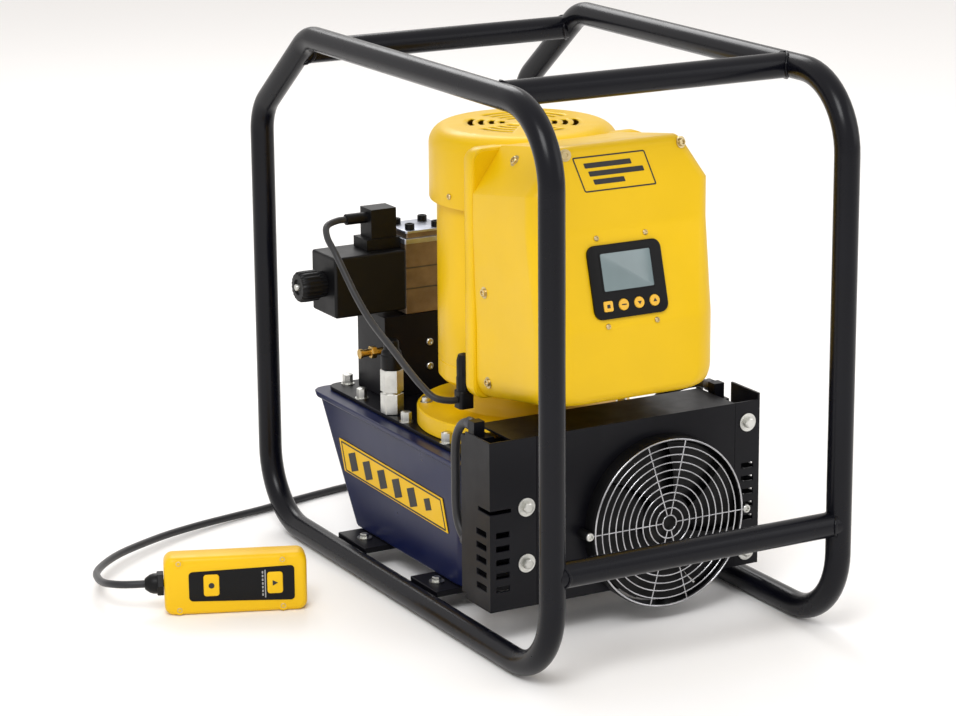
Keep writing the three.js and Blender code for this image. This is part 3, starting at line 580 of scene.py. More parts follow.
def add_weld(bm, x, y, z, sign):
    """A rippled bead where a cross tube meets a hoop at x."""
    steps = 56
    loops = []
    for i in range(steps):
        a = 2 * math.pi * i / steps
        ripple = 0.35 * math.cos(22 * a)
        inset = TUBE_R * (1 - math.sqrt(max(0, 1 - (math.sin(a) * 0.96) ** 2)))
        foot = x - sign * (TUBE_R - inset)
        bead = 2.3 + ripple
        ring = []
        for k in range(6):
            t = 2 * math.pi * k / 6
            reach = TUBE_R + bead * math.cos(t) * 0.6 + 0.2
            along = foot - sign * bead * math.sin(t) * 0.7
            ring.append((along, y + reach * math.cos(a), z + reach * math.sin(a)))
        loops.append(ring)
    add_loops(bm, loops, closed_ring=True)


def make_cage():
    for side, node_name in ((-1, "left_side_hoop"), (1, "right_side_hoop")):
        bm = bmesh.new()
        add_tube(bm, hoop_line(side * CAGE["x"]), TUBE_R, 40, closed_ring=True)
        mesh_piece(node_name + "_tube", bm, BLACK_TUBE, replaces=[node_name], smooth=60)
    tubes = {"top_front_cross_tube": (-212, 562.7), "top_rear_cross_tube": (215, 543.2),
             "lower_front_cross_tube": (-312, 118.6)}
    for node_name, (y, z) in tubes.items():
        bm = bmesh.new()
        ends = CAGE["x"] - 3
        add_tube(bm, [(x, y, z) for x in (-ends, -80, 0, 80, ends)], TUBE_R, 40)
        for sign in (-1, 1):
            add_weld(bm, sign * CAGE["x"], y, z, sign)
        mesh_piece(node_name + "_welded", bm, BLACK_TUBE, replaces=[node_name], smooth=60)
    for node_name in ("front_base_bar", "rear_base_bar"):
        refined(node_name, 0.8)
    middles = [((x, y, 25.3), (0, 0, 1)) for x in (-137, 137) for y in (-29, 135.5)]
    screws("base_bar_bolts", middles, ZINC, add_hex_bolt, across=9, height=4.5, washer=8)


# -------- tank
def tank_side_x(z):
    return TANK["half"] + TANK["flare"] * (z - TANK["low"]) / TANK["rise"]


def make_tank_label():
    """An outline and six slanted bars printed on the label plate."""
    lean = math.atan2(TANK["flare"], TANK["rise"])
    out = Vector((-math.cos(lean), 0, -math.sin(lean)))

    def at(y, z):
        return Vector((-tank_side_x(z), y, z)) + out * LABEL_THICK

    def stroke(bm, ends, width):
        (y0, z0), (y1, z1) = ends
        a, b = at(y0, z0), at(y1, z1)
        along = (b - a).normalized()
        wide = along.cross(out).normalized() * width / 2
        corners = [a - wide, b - wide, b + wide, a + wide]
        add_loops(bm, [[p - out * 0.25 for p in corners], [p + out * 0.1 for p in corners]])

    border = bmesh.new()
    bars = bmesh.new()
    corners = [(202, 115.5), (-24.5, 110.8), (-33.5, 80.4), (193.5, 85)]
    for ends in zip(corners, corners[1:] + corners[:1]):
        stroke(border, ends, 1.6)
    for i in range(5):
        y = 178 - i * 34
        stroke(bars, ((y, 108.5 - i * 0.7), (y - 6.5, 89.5 - i * 0.7)), 17)
    stroke(bars, ((6, 104), (2, 92)), 13)
    mesh_piece("tank_label_border", border, INK, smooth=30)
    mesh_piece("tank_label_bars", bars, INK, smooth=30)


def make_tank():
    refined("reservoir_tank", 1.6, 30, segments=3)
    refined("tank_cover_plate", 0.9)
    refined("drain_plug", 0.6)
    refined("pump_block", 0.8)
    refined("tank_label_plate", 0.3)
    make_tank_label()
    rim = [(-111, 84), (-110, 190), (-97, 250), (-111, -6), (-40, 254), (50, 254)]
    rim += [(108, 168), (108, 60), (108, -20)]
    screws("cover_plate_bolts", [((x, y, PLATE_TOP), (0, 0, 1)) for x, y in rim], ZINC, add_hex_bolt,
           across=10.5, height=11, washer=7.5)
    outline = [(0, 164.6), (17, 164.6), (17.5, 174), (17.5, 188), (16, 191), (11, 192.5), (9, 194), (0, 194)]
    turned_piece("filler_cap_ribbed", BLACK_PLASTIC, outline, (85, 215, 0), "filler_cap",
                 ["filler_breather_cap"], 50, sides=96, ribs=24, depth=0.9)


# -------- motor
def make_motor():
    outline = [
        (16, 164.6), (112, 164.6), (113, 165.6), (113, 182.5), (111.5, 184), (82, 185.5), (76, 188),
        (72.5, 194), (72, 200), (73, 207), (78, 212), (84, 214.7), (16, 214.7),
    ]
    turned_piece("adapter_disc_turned", YELLOW_PAINT, outline, (0, MOTOR_Y, 0),
                 replaces=["pump_adapter_disc"], smooth=30, sides=96)
    ring = [((103 * math.cos(a), MOTOR_Y + 103 * math.sin(a), 184), (0, 0, 1))
            for a in (math.radians(30 + 60 * k) for k in range(6))]
    screws("adapter_disc_screws", ring, ZINC, radius=5, height=5, washer=6.5)
    outline = [
        (12, 215), (84, 215), (87, 216), (90, 219.5), (90, 236), (89.4, 236.6), (89.4, 238.4), (90, 239),
        (90, 411), (86, 411), (86, 224), (12, 224),
    ]
    turned_piece("motor_housing_turned", YELLOW_PAINT, outline, (0, MOTOR_Y, 0),
                 replaces=["motor_housing"], smooth=30, sides=96)
    refined("motor_stator", 0.5)
    refined("motor_rotor_shaft", 0.4)
    refined("motor_cooling_fan", 0.5)
    make_fan_hood()


def make_fan_hood():
    """The pressed hood: a domed skirt, and a flat top with rings of curved air slots."""
    sides = 144
    skirt = bmesh.new()
    flat, bend, top = HOOD["flat"], HOOD["round"], HOOD["top"]
    dome = [(flat + bend * math.sin(math.radians(d)), top - bend + bend * math.cos(math.radians(d)))
            for d in range(10, 91, 10)]
    outline = [(flat, top), *dome, (97.7, 408), (97, 406.2), (91, 406.2), (91, 408.5), (95.6, 410)]
    add_loops(skirt, [[(x, MOTOR_Y + y, z) for x, y in circle(r, sides)] for r, z in outline], cap=False)
    radii = [8, 19, 24.5, 30, 35.5, 41, 46.5, 52, 57.5, 63, flat]
    slotted = {1, 3, 5, 7}
    rows = [[skirt.verts.new((x, MOTOR_Y + y, top)) for x, y in circle(r, sides)] for r in radii]
    skirt.faces.new(rows[0])
    for band, (inner, outer) in enumerate(zip(rows, rows[1:])):
        for i in range(sides):
            step = i % (sides // 6)
            if band in slotted and 4 <= step < 20:
                continue
            j = (i + 1) % sides
            skirt.faces.new((inner[i], outer[i], outer[j], inner[j]))
    hood = mesh_piece("fan_hood_pressed", skirt, YELLOW_PAINT, replaces=["motor_fan_cover"])
    wall = hood.modifiers.new("sheet", "SOLIDIFY")
    wall.thickness = 1.8 * MM
    wall.offset = -1
    spots = [((97.6 * math.cos(a), MOTOR_Y + 97.6 * math.sin(a), 418), (math.cos(a), math.sin(a), 0))
             for a in (math.radians(d) for d in (190, 70, 310))]
    screws("hood_screws", spots, PASSIVATE, radius=3, height=1.8)


# -------- electrical box
BOX = {"low": 237, "height": 258, "rake": 0.15, "rake_from": -160, "rear_half": 103}
FACE_BOTTOM, FACE_TOP, FACE_LEAN, SLOPE_FROM = 76, 172, 26, 212
COVER_BACK = -51
REAR_MIDDLE = -40


def up_face(h):
    """How far up the leaning face a height is, with the two creases slightly eased."""
    t = (h - FACE_BOTTOM) / (FACE_TOP - FACE_BOTTOM)
    ease = 0.035
    if abs(t) < ease:
        return (t + ease) ** 2 / (4 * ease)
    if abs(t - 1) < ease:
        return 1 - (1 + ease - t) ** 2 / (4 * ease)
    return max(0, min(1, t))


def box_half_width(h):
    corner = 24 - math.sqrt(24 ** 2 - (24 - h) ** 2) if h < 24 else 0
    slope = max(0, (h - SLOPE_FROM) * 33 / (BOX["height"] - SLOPE_FROM))
    return 100 + 3 * up_face(h) - corner * 0.8 - slope


def box_front(h):
    foot = 10 - math.sqrt(10 ** 2 - (10 - h) ** 2) if h < 10 else 0
    brow = 10 - math.sqrt(max(0, 10 ** 2 - (h - 248) ** 2)) if h > 248 else 0
    return -196 + FACE_LEAN * up_face(h) + foot + brow


def box_z(h, y):
    """The box is raked: each level is lower at the back than at the front."""
    return BOX["low"] + h - BOX["rake"] * (y - BOX["rake_from"])


def box_levels():
    foot = [10 * (1 - math.cos(math.radians(d))) for d in range(0, 90, 15)]
    middle = [10, 14, 19, 24, 40, 56, 70, 73, 76, 79, 82, 100, 120, 140, 166, 169, 172, 175, 178, 195]
    slope = [207, 210, 212, 214, 217, 230, 243, 246, 248]
    brow = [248 + 10 * math.sin(math.radians(d)) for d in range(15, 91, 15)]
    return foot + middle + slope + brow


def box_ring(h):
    half = box_half_width(h)
    front = box_front(h)
    radius = 30 - 14 * up_face(h)
    outline = [(half, COVER_BACK), (-half, COVER_BACK)]
    outline += arc_points(-half + radius, front + radius, radius, 180, 270, 12)
    outline += arc_points(half - radius, front + radius, radius, 270, 360, 12)
    return [(x, y, box_z(h, y)) for x, y in outline]


def make_box_cover():
    bm = bmesh.new()
    add_loops(bm, [box_ring(h) for h in box_levels()])
    mesh_piece("enclosure_cover_moulded", bm, YELLOW_PAINT, replaces=["enclosure_front_cover"], smooth=24,
               bevel=1.8, segments=3)


def make_box_rear():
    """The shallow rear half, upright, with small round corners and a groove at the joint."""
    bm = bmesh.new()
    drop = BOX["rake"] * (REAR_MIDDLE - BOX["rake_from"])
    bottom, top = BOX["low"] - drop, BOX["low"] + BOX["height"] - drop
    half = BOX["rear_half"]
    loops = []
    for y, inset in ((-50.8, 2.2), (-49.2, 2.2), (-48.8, 0.6), (-48.0, 0), (-34, 0), (-31.2, 1.2), (-30, 4)):
        outline = rounded_outline(-half + inset, half - inset, bottom + inset, top - inset, 14 - inset, 8)
        loops.append([(x, y, z) for x, z in outline])
    add_loops(bm, loops)
    mesh_piece("enclosure_rear_moulded", bm, YELLOW_PAINT, replaces=["enclosure_rear_shell"])


LEAN = math.atan2(FACE_LEAN, FACE_TOP - FACE_BOTTOM - BOX["rake"] * FACE_LEAN)
DISPLAY = Matrix.Translation((-4.7, -183.9, 361)) @ Matrix((
    (1, 0, 0), (0, math.sin(LEAN), math.cos(LEAN)), (0, -math.cos(LEAN), math.sin(LEAN)),
)).transposed().to_4x4()
DISPLAY_OUT = DISPLAY.to_3x3() @ Vector((0, 0, 1))
LCD_WINDOW = rounded_outline(-28.5, 28.5, -9.5, 27.7, 1.5)
KEY_SPOTS = (-26.6, -8.9, 8.9, 26.6)
KEY_ICONS = (
    rounded_outline(-1.8, 1.8, -1.8, 1.8, 0.5), rounded_outline(-2.6, 2.6, -0.6, 0.6, 0.3),
    [(-2.2, 1.2), (0, -2.2), (2.2, 1.2)], [(-2.2, -1.2), (2.2, -1.2), (0, 2.2)],
)


def key_place(x):
    return DISPLAY @ Matrix.Translation((x, -24, 0))


def make_bezel():
    """The frame round the screen, with a square opening for the first key and three round ones."""
    bezel = bmesh.new()
    add_slab(bezel, rounded_outline(-42, 42, -36.5, 36.5, 9), 0.2, 3.3, DISPLAY, 1.0)
    piece = mesh_piece("display_bezel_frame", bezel, BLACK_PLASTIC, replaces=["display_bezel"])
    wells = bmesh.new()
    first, *others = KEY_SPOTS
    add_slab(wells, rounded_outline(-5.5, 5.5, -5.5, 5.5, 1.9), -2, 6, key_place(first))
    for x in others:
        outline = [(0, -2), (6.1, -2), (6.1, 6), (0, 6)]
        add_turned(wells, outline, key_place(x).translation, DISPLAY_OUT, 32)
    cut_out(piece, wells)


def make_lcd():
    lcd = bmesh.new()
    add_slab(lcd, LCD_WINDOW, 1, 3.5, DISPLAY, 0.2)
    mesh_piece("lcd_window", lcd, LCD, replaces=["lcd_screen"])
    rim = bmesh.new()
    outer = rounded_outline(-30.3, 30.3, -11.3, 29.5, 2.5)
    levels = ((outer, 3.2), (outer, 3.5), (LCD_WINDOW, 3.7), (LCD_WINDOW, 3.2))
    loops = [[DISPLAY @ Vector((x, y, z)) for x, y in edge] for edge, z in levels]
    add_loops(rim, loops, closed_ring=True)
    mesh_piece("lcd_surround", rim, BLACK_PLASTIC)


def make_display_key(number, x, icon):
    """A key and its printed mark. The first key is square and the others are round."""
    body = f"key_{number}"
    key = bmesh.new()
    if number == 1:
        add_slab(key, rounded_outline(-5.2, 5.2, -5.2, 5.2, 1.7), -6, 4.2, key_place(x), 0.6)
    else:
        outline = [(0, -6), (5.7, -6), (5.7, 3.4), (5.2, 4.0), (4.2, 4.1), (0, 4.2)]
        add_turned(key, outline, key_place(x).translation, DISPLAY_OUT, 40)
    mesh_piece(f"display_key_{number}_cap", key, AMBER, body, [f"display_key_{number}"], 40)
    mark = bmesh.new()
    add_slab(mark, icon, 4.0, 4.35, key_place(x))
    mesh_piece(f"display_key_{number}_icon", mark, INK, body, smooth=30)


def make_display():
    make_bezel()
    make_lcd()
    for i, (x, icon) in enumerate(zip(KEY_SPOTS, KEY_ICONS)):
        make_display_key(i + 1, x, icon)
    corners = [(-28, 43.5), (28, 43.5), (-28, -43.5), (28, -43.5)]
    places = [(DISPLAY @ Vector((x, y, 0)), DISPLAY_OUT) for x, y in corners]
    screws("display_screws", places, PASSIVATE, radius=2.7, height=1.8)


def make_emblem():
    """A plain outlined badge with three bars, printed above the display."""
    bm = bmesh.new()
    place = Matrix.Translation((-10.5, -170, 467)) @ Matrix.Rotation(math.radians(90), 4, "X")

    def slanted(outline):
        return [(x - y * 0.42, y) for x, y in outline]

    outer = slanted(rounded_outline(-41, 41, -18, 18, 2))
    inner = slanted(rounded_outline(-39.6, 39.6, -16.6, 16.6, 1))
    steps = ((outer, -0.3), (outer, 0.3), (inner, 0.3), (inner, -0.3))
    add_loops(bm, [[place @ Vector((x, y, z)) for x, y in o] for o, z in steps], closed_ring=True)
    for x0, x1, y in ((-31, 22, 8.5), (-29, 33, 0), (-27, 8, -8.5)):
        add_slab(bm, slanted(rounded_outline(x0, x1, y - 2.6, y + 2.6, 0.8)), -0.3, 0.3, place)
    mesh_piece("cover_badge", bm, INK, smooth=30)


def make_electrical_box():
    make_box_cover()
    make_box_rear()
    make_display()
    make_emblem()
    refined("control_board", 0.2)
    low_and_middle = [(19, -74, 0), (112, -70, 0), (244, -96, 0.62)]
    spots = [((side * (box_half_width(h) - 0.4), y, box_z(h, y)), (side, 0, tip))
             for h, y, tip in low_and_middle for side in (-1, 1)]
    spots += [((side * 66, -169, 488), (side * 0.25, -0.95, 0.2)) for side in (-1, 1)]
    screws("cover_screws", spots, PASSIVATE, radius=4, height=2.6, washer=6)
    for name, z in (("pendant_cord_gland", 290), ("mains_cord_gland", 330)):
        bm = bmesh.new()
        root = (BOX["rear_half"] + 0.3, -40, z)
        add_turned(bm, [(0, 0), (10, 0), (10, 7), (9, 7.6), (0, 7.6)], root, (1, 0, 0), 6)
        outline = [(0, 7), (8, 7), (8, 10), (7, 13), (6.2, 18), (5.4, 22), (0, 22)]
        add_turned(bm, outline, root, (1, 0, 0), 48, 16, 0.5)
        mesh_piece(name + "_ribbed", bm, BLACK_PLASTIC, replaces=[name], smooth=35)


# -------- valves
def make_valves():
    refined("valve_manifold", 1.4, segments=3)
    refined("directional_valve_body", 1.6, segments=3)
    refined("solenoid_housing", 3.0, segments=4)
    refined("solenoid_connector", 1.2, segments=3)
    top = bmesh.new()
    add_slab(top, rounded_outline(-62, -10, 174, 226, 3), 344, 346.4, None, 1.0)
    add_slab(top, rounded_outline(-64.4, -7.6, 171.6, 228.4, 2), 333, 338.6, None, 1.0)
    mesh_piece("valve_top_plate", top, VALVE_TOP, smooth=35)
    caps = [((x, y, 346.4), (0, 0, 1)) for x in (-52, -20) for y in (184, 216)]
    screws("valve_top_screws", caps, BLACK_PLASTIC, radius=5.2, height=6)
    seams = bmesh.new()
    for z in (283, 306):
        add_slab(seams, rounded_outline(-64.6, -7.4, 171.4, 228.6, 1), z, z + 1.2)
    mesh_piece("valve_body_seams", seams, DARK_STEEL, smooth=30)
    fronts = [((-36, 172, z), FRONT) for z in (195, 222)]
    screws("manifold_screws", fronts, ZINC, radius=4, height=2.4)
    y, z = SOLENOID["y"], SOLENOID["z"]
    outline = [(4.4, 0), (14, 0), (14, 8), (16.8, 9), (17, 22), (16.6, 28), (14.6, 30.4), (9, 30.7)]
    outline += [(8, 28.8), (4.4, 28.8)]
    turned_piece("solenoid_knob_ribbed", BLACK_PLASTIC, outline, (-150.3, y, z), "end_knob",
                 ["solenoid_end_knob"], 45, axis=LEFT, sides=96, ribs=20, depth=1.0)
    outline = [(0, 0), (3.9, 0), (3.9, 11.5), (3.2, 12.9), (0, 13)]
    turned_piece("override_pin_turned", ZINC, outline, (-170, y, z), "override_pin",
                 ["manual_override_pin"], axis=LEFT, sides=32)
    hexes = bmesh.new()
    for low, high in ((164.6, 187), (188.4, 213)):
        nut = [(0, low), (11.9, low), (12.5, low + 1), (12.5, high - 1), (11.9, high), (0, high)]
        add_turned(hexes, nut, ADAPTER, sides=6)
    add_turned(hexes, [(0, 186), (10.4, 186), (10.4, 189.4), (0, 189.4)], ADAPTER, sides=32)
    mesh_piece("hex_adapter_pair", hexes, ZINC, replaces=["hex_adapter"], smooth=30, bevel=0.4)
    outline = [(0, 213.3), (11, 213.3), (11.5, 215), (11.5, 228), (10.6, 229), (10.6, 232), (8.4, 235)]
    outline += [(8, 243), (6.6, 245), (0, 245)]
    turned_piece("transducer_body", BLACK_PLASTIC, outline, ADAPTER,
                 replaces=["pressure_transducer"], smooth=30)
    relief = bmesh.new()
    root = (-90, 180, 217)
    add_turned(relief, [(0, 10), (4, 10), (4, 24), (5.2, 24), (5.2, 27), (0, 27)], root, LEFT, 32)
    add_turned(relief, [(0, 8), (6.8, 8), (7, 9), (7, 13), (6.6, 14), (0, 14)], root, LEFT, 6)
    add_turned(relief, [(0, -10.5), (3.9, -10.5), (3.9, 9), (0, 9)], root, LEFT, 32)
    mesh_piece("relief_adjuster_turned", relief, BRASS, "relief_adjuster", ["relief_valve_adjuster"], 30)
    gland = bmesh.new()
    add_slab(gland, rounded_outline(-106.4, -90, -28.4, -11.6, 4), 204, 223, None, 2)
    outline = [(0, 221), (8.2, 221), (8.2, 236), (7.4, 238), (7.8, 240), (7.8, 254), (6, 260), (0, 262)]
    add_turned(gland, outline, (-98, -20, 0), sides=48, ribs=12, depth=0.5)
    mesh_piece("lead_gland_boot", gland, BLACK_PLASTIC, replaces=["lead_gland"])


# -------- oil cooler
def make_cooler():
    for node_name in ("cooler_left_bracket", "cooler_right_bracket", "cooler_front_panel"):
        refined(node_name, 0.9, 30, segments=3)
    refined("heat_exchanger_core", 0.6)
    fins = bmesh.new()
    for i in range(84):
        x = -124 + i * 3
        add_slab(fins, [(x, -131.6), (x + 0.5, -131.6), (x + 0.5, -110.4), (x, -110.4)], 45, 201)
    mesh_piece("cooler_fins", fins, BLACK_SHEET, smooth=30)
    bolts = [((x, -172, z), FRONT) for x, z in ((-112, 83), (-112, 141), (148, 52), (148, 190))]
    screws("bracket_bolts", bolts, ZINC, add_hex_bolt, across=10, height=5, washer=9.5)
    make_cooler_fan()
    hoses = {
        "cooler_supply_hose": [
            (-141, -117.7, 216), (-141, -108, 216), (-141, -95, 211), (-141, -84, 198), (-141, -80, 180),
            (-141, -80, 153), (-141, -80, 126), (-141, -84, 108), (-141, -93, 96), (-141, -101, 92),
            (-141, -107.7, 92)],
        "cooler_return_hose": [
            (141, -117.7, 216), (141, -108, 216), (138, -92, 214), (129, -74, 207), (116, -58, 196),
            (108, -51, 183), (106, -50, 173), (106, -50, 164.6)],
    }
    for node_name, points in hoses.items():
        curve_piece(node_name + "_line", spline(points, 10), HOSE_R, CORD_RUBBER, replaces=[node_name])
    ends = bmesh.new()
    mouths = [(spot, (0, 1, 0)) for spot in ((-141, -118, 216), (-141, -108, 92), (141, -118, 216))]
    for centre, axis in [*mouths, ((106, -50, PLATE_TOP), (0, 0, 1))]:
        add_turned(ends, [(4.7, 0.4), (6.4, 0.4), (6.4, 9), (5.8, 10), (4.7, 10)], centre, axis, 32)
    mesh_piece("hose_ferrules", ends, DARK_STEEL, smooth=35)


def fan_place():
    return Matrix.Translation((FAN_X, -188.3, FAN_Z)) @ Matrix.Rotation(math.radians(90), 4, "X")


def make_cooler_fan():
    shroud = bmesh.new()
    centre = (FAN_X, -172.3, FAN_Z)
    outline = [(86, 0.1), (89, 0.1), (89, 14.5), (88.4, 15.6), (86.8, 15.6), (86, 14.6)]
    turn = basis(FRONT)
    loops = []
    for i in range(96):
        a = 2 * math.pi * i / 96
        section = [Vector((r * math.cos(a), r * math.sin(a), h)) for r, h in outline]
        loops.append([Vector(centre) + turn @ p for p in section])
    add_loops(shroud, loops, closed_ring=True)
    for k in range(4):
        spin = Matrix.Rotation(math.radians(90 * k), 4, "Y")
        arm = Matrix.Translation(centre) @ spin @ Matrix.Rotation(math.radians(90), 4, "X")
        add_slab(shroud, [(20, -5), (86.5, -4), (86.5, 4), (20, 5)], 0, 3.4, arm, 0.8)
    add_turned(shroud, [(0, 0), (26, 0), (26, 3.2), (0, 3.2)], centre, FRONT, 48)
    mesh_piece("fan_shroud_ring", shroud, BLACK_PLASTIC, replaces=["fan_shroud"], smooth=35)
    refined("fan_motor", 1.2)
    make_fan_blades()
    make_fan_guard()


def make_fan_blades():
    bm = bmesh.new()
    centre = Vector((FAN_X, -176.5, FAN_Z))
    add_turned(bm, [(0, 0.2), (28, 0.2), (28, 7.6), (26, 9.2), (0, 9.5)], centre, FRONT, 64)
    blades, spans, chords = 7, 9, 8
    for b in range(blades):
        grid = []
        for i in range(spans + 1):
            r = 26 + 57 * i / spans
            pitch = 9.0 * (1 - 0.25 * i / spans)
            row = []
            for j in range(chords + 1):
                u = j / chords - 0.5
                a = 2 * math.pi * b / blades + u * math.radians(49) + 0.25 * (i / spans)
                depth = 4.8 + pitch * u + 1.2 * math.cos(math.pi * u) - 0.6
                ahead = max(0.3, min(9.2, depth))
                row.append((centre.x + r * math.cos(a), centre.y - ahead, centre.z + r * math.sin(a)))
            grid.append(row)
        front = [[bm.verts.new(p) for p in row] for row in grid]
        back = [[bm.verts.new((p[0], p[1] + 1.1, p[2])) for p in row] for row in grid]
        for i in range(spans):
            for j in range(chords):
                bm.faces.new((front[i][j], front[i][j + 1], front[i + 1][j + 1], front[i + 1][j]))
                bm.faces.new((back[i][j], back[i + 1][j], back[i + 1][j + 1], back[i][j + 1]))
        edge = [(0, j) for j in range(chords)] + [(i, chords) for i in range(spans)]
        edge += [(spans, j) for j in range(chords, 0, -1)] + [(i, 0) for i in range(spans, 0, -1)]
        for (i, j), (k, m) in zip(edge, edge[1:] + edge[:1]):
            bm.faces.new((front[i][j], back[i][j], back[k][m], front[k][m]))
    mesh_piece("fan_blades_moulded", bm, BLACK_PLASTIC, "cooler_fan", ["fan_blades"], 50)


def make_fan_guard():
    """Concentric wires, straight spokes in crossing pairs, and two screwed eyes."""
    bm = bmesh.new()
    place = fan_place()
    for k in range(11):
        r = 8 + 7.9 * k
        wire = 0.8 if k < 10 else 1.05
        count = 36 if r < 40 else 72
        add_tube(bm, [place @ Vector((x, y, 1.1)) for x, y in circle(r, count)], wire, 8, closed_ring=True)
    for deg in (0, 77.5, 107, 180, 255.5, 284.7):
        a = math.radians(deg)
        reach = 91 if deg in (0, 180) else 87.5
        add_tube(bm, [place @ Vector((r * math.cos(a), r * math.sin(a), 0.5)) for r in (8, reach)], 0.8, 8)
    for side in (-1, 1):
        eye = place @ Vector((side * 93, 0, 0.8))
        add_tube(bm, [eye + Vector((x, 0, z)) for x, z in circle(3.6, 16)], 0.8, 8, closed_ring=True)
    mesh_piece("fan_guard_wires", bm, CHROME, replaces=["fan_guard"], smooth=60)
    lugs = bmesh.new()
    spots = []
    for side in (-1, 1):
        x = FAN_X + side * 93
        add_turned(lugs, [(0, 0), (5, 0), (5, 14), (4.4, 15), (0, 15)], (x, -172, FAN_Z), FRONT, 24)
        spots.append(((x, -187.4, FAN_Z), FRONT))
    mesh_piece("fan_guard_lugs", lugs, BLACK_PLASTIC, smooth=35)
    screws("fan_guard_screws", spots, ZINC, radius=4.2, height=3)


# -------- pendant
PENDANT = Matrix.Translation((-321.5, 65, 0)) @ Matrix.Rotation(math.radians(-21.8), 4, "Z")
FACE = PENDANT @ Matrix.Translation((0, -16, 31)) @ Matrix.Rotation(math.radians(90), 4, "X")


def pendant_shell(bm, levels):
    """Half of the case: the side outline grows and shrinks through the thickness."""
    loops = []
    for depth, inset in levels:
        outline = rounded_outline(-73 + inset, 73 - inset, -31 + inset, 31 - inset, 10 - inset * 0.5, 8)
        loop = []
        for x, z in outline:
            waist = 1.2 * math.cos(math.pi * x / 146) if z > 0 else 0
            loop.append(PENDANT @ Vector((x, depth, 31 + z - waist)))
        loops.append(loop)
    add_loops(bm, loops)


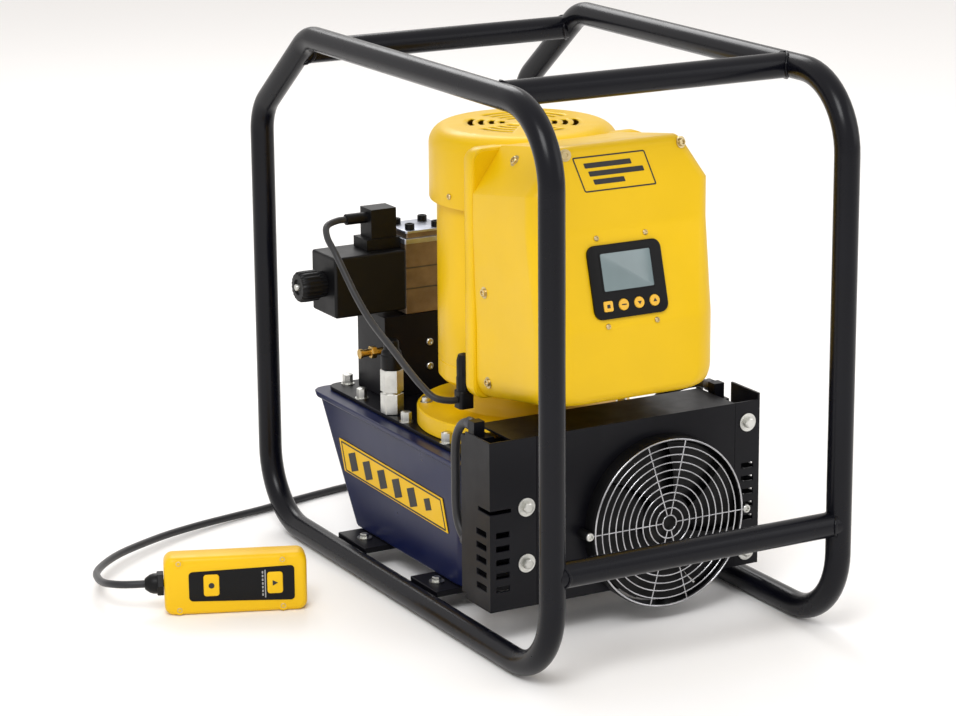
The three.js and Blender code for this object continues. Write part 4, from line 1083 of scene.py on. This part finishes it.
def make_pendant():
    front = bmesh.new()
    pendant_shell(front, [(-0.2, 0), (-11, 0), (-13.6, 0.9), (-15.4, 2.6), (-16, 5)])
    mesh_piece("pendant_front_moulded", front, YELLOW_PLASTIC, replaces=["pendant_front_case"], smooth=35)
    rear = bmesh.new()
    pendant_shell(rear, [(0.2, 0.3), (11, 0.3), (14, 1.4), (16, 4.5)])
    mesh_piece("pendant_rear_moulded", rear, YELLOW_PLASTIC, replaces=["pendant_rear_case"], smooth=35)
    pad = bmesh.new()
    outline = []
    for x, y in rounded_outline(-48, 60, -17, 17, 4, 5):
        bulge = 3 * math.sin(math.radians(90 * max(0, min(1, (x + 48) / 108)))) * (1 if y > 0 else -1)
        outline.append((x, y + bulge - (1.5 if y > 0 else -1.5)))
    add_slab(pad, outline, -0.3, 0.75, FACE, 0.4)
    mesh_piece("pendant_keypad_panel", pad, BLACK_PLASTIC, replaces=["pendant_keypad"], smooth=35)
    stripe = bmesh.new()
    add_slab(stripe, rounded_outline(29.4, 30.6, -15, 15, 0.5, 2), 0.6, 0.95, FACE)
    for k in range(7):
        add_slab(stripe, rounded_outline(26.6, 28.2, -13 + k * 4, -10.4 + k * 4, 0.4, 2), 0.6, 0.9, FACE)
    mesh_piece("pendant_stripe", stripe, GREY_INK, smooth=30)
    icons = {"stop": rounded_outline(-3, 3, -3, 3, 3, 6), "advance": [(-2.6, 3), (-2.6, -3), (3, 0)]}
    for x, which in ((-25, "stop"), (40, "advance")):
        body = f"{which}_button"
        cap = bmesh.new()
        place = FACE @ Matrix.Translation((x, 1, 0))
        add_slab(cap, rounded_outline(-8, 8, -11.5, 11.5, 3, 5), -0.4, 2.5, place, 0.9)
        mesh_piece(f"pendant_{which}_cap", cap, YELLOW_PLASTIC, body, [f"pendant_{which}_button"], 35)
        icon = bmesh.new()
        add_slab(icon, icons[which], 2.3, 2.7, place)
        mesh_piece(f"pendant_{which}_icon", icon, INK, body, smooth=30)
    out = FACE.to_3x3() @ Vector((0, 0, 1))
    corners = [(FACE @ Vector((x, y, -0.6)), out) for x in (-58, 48) for y in (-25, 25)]
    holes = bmesh.new()
    for centre, axis in corners:
        add_turned(holes, [(3.2, 0.3), (4.6, 0.3), (4.8, 0.8), (4.4, 1.0), (3.4, 0.9)], centre, axis, 28)
    mesh_piece("pendant_screw_wells", holes, YELLOW_PLASTIC, smooth=45)
    screws("pendant_screws", corners, PASSIVATE, radius=3.1, height=1.2)
    gland = bmesh.new()
    left = PENDANT.to_3x3() @ Vector(LEFT)
    root = PENDANT @ Vector((-73.3, 0, 31))
    add_turned(gland, [(0, 0), (12.6, 0), (13, 0.8), (13, 6), (12.4, 6.8), (0, 6.8)], root, left, 6)
    outline = [(0, 6), (10.6, 6), (10.6, 10), (9.4, 14), (7, 17.4), (5.4, 19.3), (0, 19.3)]
    add_turned(gland, outline, root, left, 48)
    mesh_piece("pendant_gland_nut", gland, BLACK_PLASTIC, replaces=["pendant_gland"], smooth=30, bevel=0.5)


# -------- stage and light
def make_stage():
    mesh = bpy.data.meshes.new("floor")
    mesh.from_pydata([(-8, -8, 0), (8, -8, 0), (8, 8, 0), (-8, 8, 0)], [], [(0, 1, 2, 3)])
    floor = bpy.data.objects.new("floor", mesh)
    bpy.context.scene.collection.objects.link(floor)
    mat, shader = new_material("floor_white", (0.93, 0.92, 0.91), 0.6)
    vary_roughness(mat, shader, add_noise(mat, 3), 0.55, 0.7)
    mesh.materials.append(mat)
    world = bpy.data.worlds.new("studio")
    world.use_nodes = True
    world.node_tree.nodes["Background"].inputs["Color"].default_value = (1, 0.975, 0.955, 1)
    world.node_tree.nodes["Background"].inputs["Strength"].default_value = 0.9
    bpy.context.scene.world = world
    add_light("key", (-1.6, -1.7, 2.6), 52, 1.3, (0.98, 0.99, 1))
    add_light("fill", (2.2, -1.8, 1.5), 12, 1.8, (0.97, 0.98, 1))
    add_light("rim", (0.6, 2.4, 2.4), 30, 1.4, (1, 1, 1))


def add_light(name, spot, power, size, color):
    data = bpy.data.lights.new(name, "AREA")
    data.energy = power
    data.size = size
    data.color = color
    light = bpy.data.objects.new(name, data)
    light.location = spot
    aim = Vector((0, 0, 0.25)) - Vector(spot)
    light.rotation_euler = aim.to_track_quat("-Z", "Y").to_euler()
    bpy.context.scene.collection.objects.link(light)


# -------- build
make_cage()
make_tank()
make_motor()
make_electrical_box()
make_valves()
make_cooler()
make_pendant()
make_stage()
